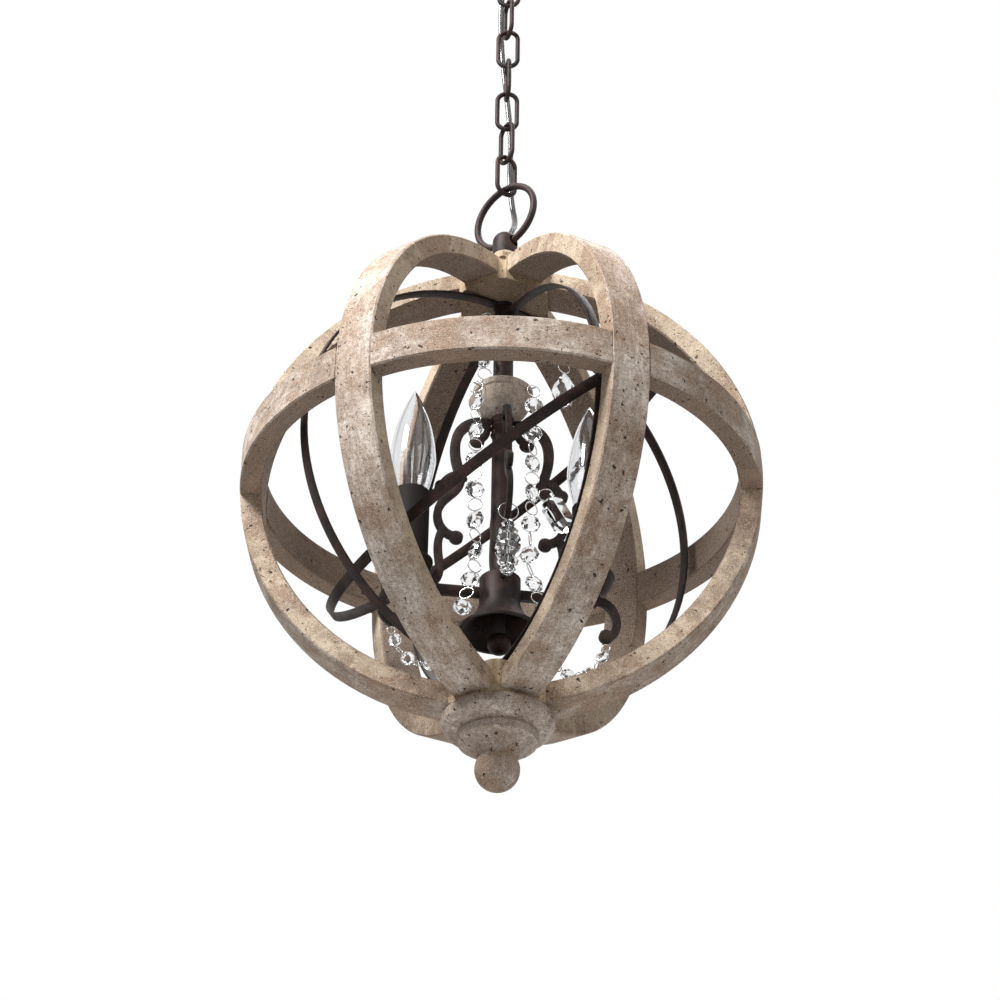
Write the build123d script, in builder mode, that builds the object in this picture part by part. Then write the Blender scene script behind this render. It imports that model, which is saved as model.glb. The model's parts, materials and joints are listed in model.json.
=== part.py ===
from build123d import *
import math
import os

# An orb chandelier: a round cage of six wooden ribs and a wooden belt, three iron hoops inside it, and an
# iron stem with scrolled arms, two candle lights and strings of crystal. It hangs on a chain from a ceiling
# canopy. Millimetres, +Z up. The origin is the middle of the crossbar's top face, on the ceiling.
# Azimuths run from the front (-Y) towards +X. Heights inside the lamp count from the orb's centre.

# Fits and gaps
running_gap = 0.05
seat_gap = 0.3

# Ceiling fitting
crossbar_length = 102.0
crossbar_width = 18.0
crossbar_thick = 2.5
screw_spacing = 88.9
slot_length = 9.0
slot_radius = 2.3
nipple_radius = 4.8
nipple_bore = 3.4
nipple_length = 20.0
locknut_flat_radius = 7.0
locknut_thick = 4.0
barrel_radius = 12.7
barrel_top = 12.0
barrel_length = 22.0
eye_wire = 3.0
eye_radius = 9.0
eye_drop = 10.0
cord_mouth = 5.6
cord_mouth_depth = 8.0
canopy_radius = 64.0
canopy_depth = 26.0
canopy_wall = 1.4
canopy_flat_radius = 26.0
canopy_lip = 3.0
collar_radius = 19.0
collar_height = 7.0

# Chain and hanging ring
wire_radius = 2.0
link_length = 44.7
link_width = 21.0
link_azimuths = [0, 90, 20, 88, 8, 92, 35, -60]
ring_radius = 30.1
ring_wire = 2.9
ring_azimuth = 51.0

# Cage
orb_radius = 205.0
cage_thick = 17.0
rib_width = 32.0
belt_height = 30.0
rib_count = 6
first_rib_azimuth = -32.75
edge_break = 1.2
hub_flat = 36.0
hub_inner_height = 178.0
hub_outer_height = 205.0
hub_scallop = 9.0

# Wooden collar over the cage, and the iron cap on it
collar_foot_radius = 15.5
wood_collar_height = 26.0
wood_collar_rim = 6.5
cap_radius = 10.5
cap_side = 14.0
cap_dome = 9.5
cap_ring_height = 12.5
cap_cross_bore = 5.2
cord_hole = 2.9
cord_offset = 6.3

# Finial under the cage
bead_radius = 43.0
bead_height = 14.0
dish_radius = 31.0
dish_height = 5.0
finial_neck = 12.5
ball_radius = 17.0
ball_drop = 44.7
stud_radius = 3.0
stud_nut_flat = 6.5
stud_nut_thick = 5.0

# Iron hoops
strip_width = 8.5
strip_thick = 2.0
outer_hoop_radius = 178.0
inner_hoop_radius = 166.0
outer_hoop_azimuth = -58.2
inner_hoop_azimuth = 26.0
tilted_hoop_tilt = 43.0
hoop_pad_radius = 9.0
pin_radius = 2.0
pin_head_radius = 4.0
pin_head_thick = 1.6

# Stem
rod_radius = 4.8
rod_bore = 3.3
column_radius = 8.1
column_bead = 9.6
bead_row = 6.0
bowl_radius = 24.3
bowl_top = 92.0
bowl_rim = 7.0
bowl_bottom = 64.0
spacer_radius = 7.5
bell_top = -85.0
bell_neck_radius = 16.0
bell_neck_length = 24.0
bell_rim_radius = 32.0
bell_rim_height = -134.0
bell_wall = 2.2
bell_nut_radius = 9.0
bell_nut_height = -143.0

# Scrolled arms
arm_azimuths = {"left": -82.4, "right": 97.6}
brace_azimuths = {"front": 7.6, "back": 187.6}
plate_thick = 4.2
scroll_width = 8.0
arm_height = -99.0
arm_width = 8.5
light_radius = 71.0

# Candle lights
cup_radius = 18.5
cup_bottom = -94.75
cup_rim = -76.0
cup_floor = -82.0
sleeve_radius = 14.5
sleeve_wall = 1.5
sleeve_top = -13.0
holder_radius = 9.0
holder_top = -33.0
holder_bore = 6.6
socket_depth = 21.0
bulb_cap_radius = 6.3
bulb_cap_length = 23.7
glass_radius = 18.5
glass_widest = 16.0
glass_tip = 84.0
glass_wall = 0.8
glass_shoulder = (11.9, -14.0)
glass_taper = (10.6, 61.0)

# Crystal
crystal_radius = 7.0
crystal_thick = 7.0
crystal_girdle = 1.6
small_ring = 4.2
small_wire = 0.6
swag_crystal = 5.0
peg_radius = 0.8
cone_ring = 7.6
cone_radius = 42.5
cone_height = -49.9
drop_ring = 6.4
drop_radius = 59.0
drop_height = 164.3

# Cord
cord_radius = 2.5

os.makedirs("parts", exist_ok=True)


def direction(azimuth):
    angle = math.radians(azimuth)
    return Vector(math.sin(angle), -math.cos(angle), 0)


def upright(azimuth, height=0.0, radius=0.0):
    """An upright plane through the lamp's axis: x runs outwards at the azimuth, y runs up."""
    out = direction(azimuth)
    start = out * radius + Vector(0, 0, height)
    return Plane(origin=start, x_dir=out, z_dir=out.cross(Vector(0, 0, 1)))


def level(height):
    return Plane.XY.offset(height)


def save(part, name):
    part.label = name
    export_step(part, f"parts/{name}.step")


# ---------------------------------------------------------------- where things hang
link_reach = link_length / 2 - wire_radius
barrel_foot = -barrel_top - barrel_length
eye_bottom = barrel_foot - eye_drop - eye_radius
link_bottoms = []
contact = eye_bottom
above_wire = eye_wire
for link_azimuth in link_azimuths:
    link_top = contact + above_wire + wire_radius + seat_gap
    contact = link_top - 2 * link_reach
    above_wire = wire_radius
    link_bottoms.append(contact)
ring_top = contact + wire_radius + ring_wire + seat_gap
ring_centre = ring_top - ring_radius
ring_bottom = ring_centre - ring_radius
cap_foot = ring_bottom - cap_ring_height
orb_z = cap_foot - wood_collar_height - hub_outer_height
print("chain contacts", [round(height, 2) for height in link_bottoms])
print("ring bottom", round(ring_bottom, 2), "orb centre", round(orb_z, 2))

# ---------------------------------------------------------------- ceiling fitting
with BuildPart() as crossbar:
    with BuildSketch(level(-crossbar_thick)):
        RectangleRounded(crossbar_length, crossbar_width, crossbar_width / 4)
        with Locations((-screw_spacing / 2, 0), (screw_spacing / 2, 0)):
            SlotOverall(slot_length, 2 * slot_radius, mode=Mode.SUBTRACT)
        Circle(nipple_radius + running_gap, mode=Mode.SUBTRACT)
    extrude(amount=crossbar_thick)
save(crossbar.part, "crossbar")

with BuildPart() as nipple:
    with BuildSketch(level(-nipple_length)):
        Circle(nipple_radius)
        Circle(nipple_bore, mode=Mode.SUBTRACT)
    extrude(amount=nipple_length)
save(nipple.part, "nipple")

with BuildPart() as nipple_locknut:
    with BuildSketch(level(-crossbar_thick - locknut_thick)):
        RegularPolygon(locknut_flat_radius, 6, major_radius=False)
        Circle(nipple_radius + running_gap, mode=Mode.SUBTRACT)
    extrude(amount=locknut_thick)
save(nipple_locknut.part, "nipple_locknut")

with BuildPart() as screw_loop:
    with BuildSketch(level(barrel_foot)):
        Circle(barrel_radius)
    extrude(amount=barrel_length)
    chamfer(screw_loop.edges().group_by(Axis.Z)[0], edge_break)
    with BuildLine() as eye_path:
        eye_start = Line((-eye_radius, 0, barrel_foot + eye_wire), (-eye_radius, 0, barrel_foot - eye_drop))
        eye_turn = ThreePointArc(eye_start @ 1, (0, 0, eye_bottom), (eye_radius, 0, barrel_foot - eye_drop))
        Line(eye_turn @ 1, (eye_radius, 0, barrel_foot + eye_wire))
    with BuildSketch(Plane(eye_path.line @ 0, z_dir=eye_path.line % 0)):
        Circle(eye_wire)
    sweep(path=eye_path.line)
    with Locations((0, 0, -barrel_top)):
        Cylinder(nipple_radius + running_gap, 2 * (nipple_length - barrel_top), mode=Mode.SUBTRACT)
    Cylinder(nipple_bore, -2 * barrel_foot, mode=Mode.SUBTRACT)
    with Locations((0, 0, barrel_foot)):
        Cylinder(cord_mouth, 2 * cord_mouth_depth, mode=Mode.SUBTRACT)
save(screw_loop.part, "screw_loop")

canopy_foot = -canopy_depth
with BuildPart() as canopy:
    with BuildSketch(Plane.XZ):
        with BuildLine():
            Polyline((0, canopy_foot), (0, 0), (canopy_radius, 0), (canopy_radius, -canopy_lip))
            canopy_side = TangentArc(
                (canopy_radius, -canopy_lip), (canopy_flat_radius, canopy_foot), tangent=(0, -1)
            )
            Line(canopy_side @ 1, (0, canopy_foot))
        make_face()
    revolve(axis=Axis.Z)
    canopy_inside = canopy_radius - canopy_wall
    with BuildSketch(Plane.XZ):
        with BuildLine():
            Polyline((0, canopy_foot + canopy_wall), (0, 0), (canopy_inside, 0), (canopy_inside, -canopy_lip))
            hollow_side = TangentArc(
                (canopy_inside, -canopy_lip),
                (canopy_flat_radius, canopy_foot + canopy_wall),
                tangent=(0, -1),
            )
            Line(hollow_side @ 1, (0, canopy_foot + canopy_wall))
        make_face()
    revolve(axis=Axis.Z, mode=Mode.SUBTRACT)
    Cylinder(barrel_radius + seat_gap, 3 * canopy_depth, mode=Mode.SUBTRACT)
save(canopy.part, "canopy")

with BuildPart() as collar_ring:
    with BuildSketch(level(canopy_foot - collar_height)):
        Circle(collar_radius)
        Circle(barrel_radius + seat_gap, mode=Mode.SUBTRACT)
    extrude(amount=collar_height)
    fillet(collar_ring.edges().group_by(Axis.Z)[0].sort_by(SortBy.RADIUS)[-1], collar_height / 3)
save(collar_ring.part, "collar_ring")

# ---------------------------------------------------------------- chain and hanging ring
bow = link_width / 2 - wire_radius
straight = link_reach - bow
for number, link_azimuth in enumerate(link_azimuths):
    link_plane = upright(link_azimuth, link_bottoms[number] + link_reach)
    with BuildPart() as chain_link:
        with BuildLine(link_plane) as link_path:
            Line((bow, -straight), (bow, straight))
            ThreePointArc((bow, straight), (0, link_reach), (-bow, straight))
            Line((-bow, straight), (-bow, -straight))
            ThreePointArc((-bow, -straight), (0, -link_reach), (bow, -straight))
        link_wire = link_path.wires()[0]
        with BuildSketch(Plane(link_wire @ 0, z_dir=link_wire % 0)):
            Circle(wire_radius)
        sweep(path=link_wire)
    save(chain_link.part, f"chain_link_{number + 1}")

ring_plane = upright(ring_azimuth, ring_centre)
with BuildPart(Plane(ring_plane.origin, z_dir=ring_plane.z_dir)) as hanging_ring:
    Torus(ring_radius, ring_wire)
save(hanging_ring.part, "hanging_ring")

# ---------------------------------------------------------------- top of the lamp
lamp = Plane(origin=(0, 0, orb_z), x_dir=(1, 0, 0), z_dir=(0, -1, 0))
rod_hole = rod_radius + running_gap
collar_top = hub_outer_height + wood_collar_height
cap_shoulder = collar_top + cap_side
cap_top = cap_shoulder + cap_dome
cap_bore_end = collar_top + cap_ring_height - cap_cross_bore - 2 * seat_gap
cord_side = direction(ring_azimuth + 90) * cord_offset
with BuildPart() as top_cap:
    with BuildSketch(level(orb_z + collar_top)):
        Circle(cap_radius)
    extrude(amount=cap_top - collar_top)
    fillet(top_cap.edges().group_by(Axis.Z)[-1], cap_dome)
    with BuildSketch(level(orb_z + collar_top)):
        Circle(rod_hole)
    extrude(amount=cap_bore_end - collar_top, mode=Mode.SUBTRACT)
    with BuildSketch(Plane((0, 0, ring_bottom), z_dir=direction(ring_azimuth))):
        Circle(cap_cross_bore)
    extrude(amount=2 * cap_radius, both=True, mode=Mode.SUBTRACT)
    with BuildSketch(Plane(cord_side + Vector(0, 0, ring_bottom))):
        Circle(cord_hole)
    extrude(amount=cap_side, mode=Mode.SUBTRACT)
save(top_cap.part, "top_cap")

with BuildPart() as wood_collar:
    rim_top = hub_outer_height + wood_collar_rim
    with BuildSketch(lamp):
        with BuildLine():
            Polyline(
                (cap_radius - edge_break / 2, collar_top),
                (rod_hole, collar_top),
                (rod_hole, hub_outer_height),
                (collar_foot_radius - edge_break, hub_outer_height),
                (collar_foot_radius, hub_outer_height + edge_break),
                (collar_foot_radius, rim_top - edge_break),
                (collar_foot_radius - 1.5 * edge_break, rim_top),
            )
            ThreePointArc(
                (collar_foot_radius - 1.5 * edge_break, rim_top),
                (collar_foot_radius - 2 * edge_break, rim_top + 0.55 * (collar_top - rim_top)),
                (cap_radius - edge_break / 2, collar_top),
            )
        make_face()
    revolve(axis=Axis.Z)
save(wood_collar.part, "wood_collar")

# ---------------------------------------------------------------- cage
rib_azimuths = [first_rib_azimuth + 360 / rib_count * number for number in range(rib_count)]
hub_turn = first_rib_azimuth - 90 - 180 / rib_count
hub_height = hub_outer_height - hub_inner_height
corner_radius = hub_flat / math.cos(math.pi / rib_count)
for name, side, bore in (("top_hub", 1, rod_hole), ("bottom_hub", -1, stud_radius + running_gap)):
    low = orb_z + min(side * hub_inner_height, side * hub_outer_height)
    inner_end = orb_z + side * hub_inner_height
    with BuildPart() as hub:
        with BuildSketch(level(low)):
            RegularPolygon(hub_flat, rib_count, major_radius=False, rotation=hub_turn)
            Circle(bore, mode=Mode.SUBTRACT)
        extrude(amount=hub_height)
        with BuildSketch(level(inner_end)):
            with PolarLocations(corner_radius + hub_scallop / 2, rib_count, start_angle=hub_turn):
                Circle(0.8 * hub_scallop)
        extrude(amount=side * 0.8 * hub_height, mode=Mode.SUBTRACT)
    save(hub.part, name)

for number, rib_azimuth in enumerate(rib_azimuths):
    with BuildPart() as rib:
        with BuildSketch(upright(rib_azimuth, orb_z)):
            Circle(orb_radius)
            Circle(orb_radius - cage_thick, mode=Mode.SUBTRACT)
            with Locations((hub_flat + orb_radius, 0)):
                Rectangle(2 * orb_radius, 3 * orb_radius, mode=Mode.INTERSECT)
        extrude(amount=rib_width / 2, both=True)
        chamfer(rib.edges().filter_by(GeomType.CIRCLE), edge_break)
    save(rib.part, f"rib_{number + 1}")

for number, rib_azimuth in enumerate(rib_azimuths):
    next_azimuth = rib_azimuth + 360 / rib_count
    middle = direction((rib_azimuth + next_azimuth) / 2)
    apex = middle * (rib_width / 2 / math.sin(math.pi / rib_count))
    with BuildPart() as belt_arc:
        with BuildSketch(level(orb_z - belt_height / 2)):
            Circle(orb_radius)
            Circle(orb_radius - cage_thick, mode=Mode.SUBTRACT)
            with BuildLine():
                Polyline(
                    apex,
                    apex + direction(rib_azimuth) * 2 * orb_radius,
                    apex + middle * 4 * orb_radius,
                    apex + direction(next_azimuth) * 2 * orb_radius,
                    close=True,
                )
            make_face(mode=Mode.INTERSECT)
        extrude(amount=belt_height)
        chamfer(belt_arc.edges().filter_by(GeomType.CIRCLE), edge_break)
    save(belt_arc.part, f"belt_arc_{number + 1}")

# ---------------------------------------------------------------- finial
bead_top = -hub_outer_height
bead_foot = bead_top - bead_height
dish_top = bead_foot - finial_neck / 3
dish_foot = dish_top - dish_height
ball_centre = bead_top - ball_drop
ball_neck = 0.86 * ball_radius
ball_join = ball_centre + math.sqrt(ball_radius**2 - ball_neck**2)
with BuildPart() as finial:
    with BuildSketch(lamp):
        with BuildLine():
            Polyline(
                (0, ball_centre - ball_radius),
                (0, bead_top),
                (bead_radius - bead_height / 4, bead_top),
            )
            ThreePointArc(
                (bead_radius - bead_height / 4, bead_top),
                (bead_radius, bead_top - bead_height / 2),
                (bead_radius - bead_height / 2, bead_foot),
            )
            ThreePointArc(
                (bead_radius - bead_height / 2, bead_foot),
                (dish_radius - 0.5 * edge_break, (bead_foot + dish_top) / 2),
                (dish_radius, dish_top),
            )
            Line((dish_radius, dish_top), (dish_radius - edge_break, dish_foot))
            ThreePointArc(
                (dish_radius - edge_break, dish_foot),
                (0.68 * dish_radius, dish_foot - 0.35 * (dish_foot - ball_join)),
                (ball_neck, ball_join),
            )
            ThreePointArc(
                (ball_neck, ball_join),
                (ball_radius, ball_centre),
                (0, ball_centre - ball_radius),
            )
        make_face()
    revolve(axis=Axis.Z)
    stud_end = bead_top - bead_height
    with BuildSketch(level(orb_z + stud_end)):
        Circle(stud_radius + running_gap)
    extrude(amount=bead_height, mode=Mode.SUBTRACT)
save(finial.part, "finial")

# ---------------------------------------------------------------- iron hoops
pin_line = direction(inner_hoop_azimuth)
tilted_inner = inner_hoop_radius + seat_gap
tilted_outer = tilted_inner + strip_thick
stud_hole = stud_radius + running_gap
hoops = (("outer_hoop", outer_hoop_radius, outer_hoop_azimuth), ("inner_hoop", inner_hoop_radius, inner_hoop_azimuth))
for name, hoop_radius, hoop_azimuth in hoops:
    with BuildPart() as hoop:
        with BuildSketch(upright(hoop_azimuth, orb_z)):
            Circle(hoop_radius)
            Circle(hoop_radius - strip_thick, mode=Mode.SUBTRACT)
        extrude(amount=strip_width / 2, both=True)
        for pole in (1, -1):
            with BuildSketch(level(orb_z + pole * (hoop_radius - strip_thick))):
                Circle(hoop_pad_radius)
            extrude(amount=pole * strip_thick)
            with BuildSketch(level(orb_z + pole * (hoop_radius - strip_thick))):
                Circle(hoop_pad_radius + edge_break)
            extrude(amount=-pole * strip_thick, mode=Mode.SUBTRACT)
        with BuildSketch(level(orb_z)):
            Circle(rod_hole)
        extrude(amount=2 * hoop_radius, mode=Mode.SUBTRACT)
        with BuildSketch(level(orb_z)):
            Circle(stud_hole)
        extrude(amount=-2 * hoop_radius, mode=Mode.SUBTRACT)
        if name == "inner_hoop":
            with BuildSketch(Plane((0, 0, orb_z), z_dir=pin_line)):
                Circle(pin_radius + running_gap)
            extrude(amount=2 * hoop_radius, both=True, mode=Mode.SUBTRACT)
    save(hoop.part, name)

rise = direction(inner_hoop_azimuth + 90)
tilt = math.radians(tilted_hoop_tilt)
hoop_normal = Vector(0, 0, 1) * math.cos(tilt) - rise * math.sin(tilt)
with BuildPart() as tilted_hoop:
    with BuildSketch(Plane((0, 0, orb_z), x_dir=pin_line, z_dir=hoop_normal)):
        Circle(tilted_outer)
        Circle(tilted_inner, mode=Mode.SUBTRACT)
    extrude(amount=strip_width / 2, both=True)
    with BuildSketch(Plane((0, 0, orb_z), z_dir=pin_line)):
        Circle(pin_radius + running_gap)
    extrude(amount=2 * tilted_outer, both=True, mode=Mode.SUBTRACT)
save(tilted_hoop.part, "tilted_hoop")

pin_inner = inner_hoop_radius - strip_thick - seat_gap - pin_head_thick
pin_outer = tilted_outer + seat_gap + pin_head_thick
with BuildPart() as hoop_pins:
    for side in (-1, 1):
        pin_plane = Plane((0, 0, orb_z), z_dir=pin_line * side)
        with BuildSketch(pin_plane.offset(pin_inner)):
            Circle(pin_radius)
        extrude(amount=pin_outer - pin_inner)
        for head_start in (pin_inner, pin_outer - pin_head_thick):
            with BuildSketch(pin_plane.offset(head_start)):
                Circle(pin_head_radius)
            extrude(amount=pin_head_thick)
save(hoop_pins.part, "hoop_pins")

# spacers between the two fixed hoops, above and below
spacer_height = outer_hoop_radius - inner_hoop_radius - strip_thick
with BuildPart() as hoop_spacers:
    for low, bore in ((inner_hoop_radius, rod_hole), (-inner_hoop_radius - spacer_height, stud_hole)):
        with BuildSketch(level(orb_z + low)):
            Circle(spacer_radius)
            Circle(bore, mode=Mode.SUBTRACT)
        extrude(amount=spacer_height)
save(hoop_spacers.part, "hoop_spacers")

stud_top = -inner_hoop_radius + strip_thick + stud_nut_thick + edge_break
with BuildPart() as finial_stud:
    with BuildSketch(level(orb_z + stud_end)):
        Circle(stud_radius)
    extrude(amount=stud_top - stud_end)
save(finial_stud.part, "finial_stud")

with BuildPart() as stud_nut:
    with BuildSketch(level(orb_z - inner_hoop_radius + strip_thick)):
        RegularPolygon(stud_nut_flat, 6, major_radius=False)
        Circle(stud_hole, mode=Mode.SUBTRACT)
    extrude(amount=stud_nut_thick)
save(stud_nut.part, "stud_nut")

# ---------------------------------------------------------------- stem
rod_top = cap_bore_end - seat_gap
rod_bottom = bell_nut_height + bell_nut_radius / 3
with BuildPart() as centre_rod:
    with BuildSketch(level(orb_z + rod_bottom)):
        Circle(rod_radius)
        Circle(rod_bore, mode=Mode.SUBTRACT)
    extrude(amount=rod_top - rod_bottom)
save(centre_rod.part, "centre_rod")

column_top = inner_hoop_radius - strip_thick
with BuildPart() as upper_column:
    with BuildSketch(lamp):
        with BuildLine():
            Polyline(
                (rod_hole, bowl_top),
                (column_bead, bowl_top),
                (column_bead, bowl_top + 4 * edge_break),
                (column_radius, bowl_top + 6 * edge_break),
                (column_radius, column_top - 6 * edge_break),
                (column_bead, column_top - 4 * edge_break),
                (column_bead, column_top),
                (rod_hole, column_top),
                close=True,
            )
        make_face()
    revolve(axis=Axis.Z)
save(upper_column.part, "upper_column")

with BuildPart() as wood_bowl:
    rim_foot = bowl_top - bowl_rim
    with BuildSketch(lamp):
        with BuildLine():
            Polyline(
                (column_bead + seat_gap, bowl_bottom),
                (rod_hole, bowl_bottom),
                (rod_hole, bowl_top),
                (bowl_radius - edge_break, bowl_top),
                (bowl_radius, bowl_top - edge_break),
                (bowl_radius, rim_foot + edge_break),
                (bowl_radius - edge_break, rim_foot),
            )
            ThreePointArc(
                (bowl_radius - edge_break, rim_foot),
                (0.8 * bowl_radius, bowl_bottom + 0.42 * (rim_foot - bowl_bottom)),
                (column_bead + seat_gap, bowl_bottom),
            )
        make_face()
    revolve(axis=Axis.Z)
save(wood_bowl.part, "wood_bowl")

with BuildPart() as lower_column:
    with BuildSketch(lamp):
        with BuildLine():
            Polyline((column_bead, bowl_bottom), (rod_hole, bowl_bottom), (rod_hole, bell_top))
            Polyline((rod_hole, bell_top), (column_radius, bell_top), (column_radius, bowl_bottom - 3 * bead_row))
            Polyline(
                (column_radius, bowl_bottom - 3 * bead_row),
                (column_bead, bowl_bottom - 2.5 * bead_row),
                (column_radius, bowl_bottom - 2 * bead_row),
                (column_bead, bowl_bottom - 1.5 * bead_row),
                (column_radius, bowl_bottom - bead_row),
                (column_bead, bowl_bottom - 0.5 * bead_row),
                (column_bead, bowl_bottom),
            )
        make_face()
    revolve(axis=Axis.Z)
save(lower_column.part, "lower_column")

neck_foot = bell_top - bell_neck_length
with BuildPart() as bell:
    with BuildSketch(lamp):
        with BuildLine():
            Polyline(
                (rod_hole, bell_top - bell_wall),
                (rod_hole, bell_top),
                (bell_neck_radius - edge_break, bell_top),
                (bell_neck_radius, bell_top - edge_break),
                (bell_neck_radius, neck_foot),
            )
            ThreePointArc(
                (bell_neck_radius, neck_foot),
                (0.35 * bell_rim_radius + 0.65 * bell_neck_radius, 0.5 * (neck_foot + bell_rim_height)),
                (bell_rim_radius, bell_rim_height + bell_wall),
            )
            Polyline(
                (bell_rim_radius, bell_rim_height + bell_wall),
                (bell_rim_radius, bell_rim_height),
                (bell_rim_radius - bell_wall, bell_rim_height),
            )
            ThreePointArc(
                (bell_rim_radius - bell_wall, bell_rim_height),
                (
                    0.35 * bell_rim_radius + 0.65 * bell_neck_radius - bell_wall,
                    0.5 * (neck_foot + bell_rim_height) - bell_wall / 2,
                ),
                (bell_neck_radius - bell_wall, neck_foot),
            )
            Polyline(
                (bell_neck_radius - bell_wall, neck_foot),
                (bell_neck_radius - bell_wall, bell_top - bell_wall),
                (rod_hole, bell_top - bell_wall),
            )
        make_face()
    revolve(axis=Axis.Z)
save(bell.part, "bell")

with BuildPart() as bell_locknut:
    with BuildSketch(level(orb_z + bell_top - bell_wall - locknut_thick)):
        RegularPolygon(locknut_flat_radius, 6, major_radius=False)
        Circle(rod_hole, mode=Mode.SUBTRACT)
    extrude(amount=locknut_thick)
save(bell_locknut.part, "bell_locknut")

with BuildPart(level(orb_z + bell_nut_height)) as bell_nut:
    Sphere(bell_nut_radius)
    with BuildSketch(level(orb_z + rod_bottom - seat_gap)):
        Circle(rod_hole)
    extrude(amount=2 * bell_nut_radius, mode=Mode.SUBTRACT)
save(bell_nut.part, "bell_nut")

# ---------------------------------------------------------------- scrolled arms and braces
def scroll_curls():
    """The upper C with its inner curl, the outward curl and the lower C, drawn on a plate's own plane."""
    strokes = (
        (((6, 56), (19, 59.5), (32, 52), (37.5, 36), (36, 18), (31, 2)), scroll_width),
        (((12, 57), (13.5, 48), (20, 42)), 5.5),
        (((33, 8), (42, 3.5), (47, -4)), 6.5),
        (((32, 4), (37, -8), (47, -20), (50, -34), (44.5, -46), (36, -50)), 6.5),
    )
    for points, width in strokes:
        with BuildLine() as stroke:
            Spline(*points)
        trace(stroke.line, line_width=width)
    for centre, radius in (((20, 42), 6.0), ((47.5, -5), 5.6), ((35, -51), 5.4)):
        with Locations(centre):
            Circle(radius)


def clear_stem():
    """Takes the column, its beads and the bell's neck out of the plates."""
    for top, reach, radius in (
        (bowl_bottom, bowl_bottom - bell_top, column_radius),
        (bowl_bottom, 3 * bead_row, column_bead),
        (bell_top, bell_neck_length, bell_neck_radius),
    ):
        with BuildSketch(level(orb_z + top)) as bore_end:
            Circle(radius)
        extrude(bore_end.sketch, amount=-reach, mode=Mode.SUBTRACT)


for side, azimuth in arm_azimuths.items():
    with BuildPart() as scroll_arm:
        with BuildSketch(upright(azimuth, orb_z)):
            scroll_curls()
            with BuildLine() as arch:
                Spline((46, -46), (49, -58), (48, -72), (47.5, -84), (54, -95), (62, arm_height))
            trace(arch.line, line_width=6.5)
            with BuildLine() as reach:
                Line((bell_neck_radius - 2, arm_height), (light_radius + 4, arm_height))
            trace(reach.line, line_width=arm_width)
            with BuildLine() as hook:
                Spline((light_radius, arm_height), (84, -101), (90.5, -114), (88.5, -126), (83, -130))
            trace(hook.line, line_width=6.5)
            with Locations((82.5, -129)):
                Circle(5.6)
        extrude(amount=plate_thick / 2, both=True)
        clear_stem()
    save(scroll_arm.part, f"scroll_arm_{side}")

with BuildPart() as scroll_braces:
    for azimuth in brace_azimuths.values():
        with BuildSketch(upright(azimuth, orb_z)):
            scroll_curls()
            with BuildLine() as foot:
                Spline((37, -51), (27, -62), (20, -76), (bell_neck_radius - 2, -92))
            trace(foot.line, line_width=arm_width)
        extrude(amount=plate_thick / 2, both=True)
    clear_stem()
save(scroll_braces.part, "scroll_braces")

# ---------------------------------------------------------------- candle lights
lights = {side: upright(azimuth, orb_z, light_radius) for side, azimuth in arm_azimuths.items()}
with BuildPart() as candle_cups:
    for light in lights.values():
        with BuildSketch(light):
            with BuildLine():
                Polyline((0, cup_floor), (0, cup_bottom), (7, cup_bottom), (8, cup_bottom + 2.5), (6.5, cup_bottom + 4))
                ThreePointArc((6.5, cup_bottom + 4), (14.5, cup_bottom + 7.5), (cup_radius - 1, cup_rim - 3.5))
                Polyline(
                    (cup_radius - 1, cup_rim - 3.5),
                    (cup_radius, cup_rim - 2.5),
                    (cup_radius, cup_rim),
                    (sleeve_radius + running_gap, cup_rim),
                    (sleeve_radius + running_gap, cup_floor),
                    (0, cup_floor),
                )
            make_face()
        revolve(axis=Axis(light.origin, (0, 0, 1)))
save(candle_cups.part, "candle_cups")

with BuildPart() as candle_sleeves:
    for light in lights.values():
        with BuildSketch(Plane(light.origin).offset(cup_floor)):
            Circle(sleeve_radius)
            Circle(sleeve_radius - sleeve_wall, mode=Mode.SUBTRACT)
        extrude(amount=sleeve_top - cup_floor)
    chamfer(candle_sleeves.edges().group_by(Axis.Z)[-1], sleeve_wall / 3)
save(candle_sleeves.part, "candle_sleeves")

with BuildPart() as lampholders:
    for light in lights.values():
        with BuildSketch(Plane(light.origin).offset(cup_floor)):
            Circle(holder_radius)
        extrude(amount=holder_top - cup_floor)
        with BuildSketch(Plane(light.origin).offset(holder_top)):
            Circle(holder_bore)
        extrude(amount=-socket_depth, mode=Mode.SUBTRACT)
save(lampholders.part, "lampholders")

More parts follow.
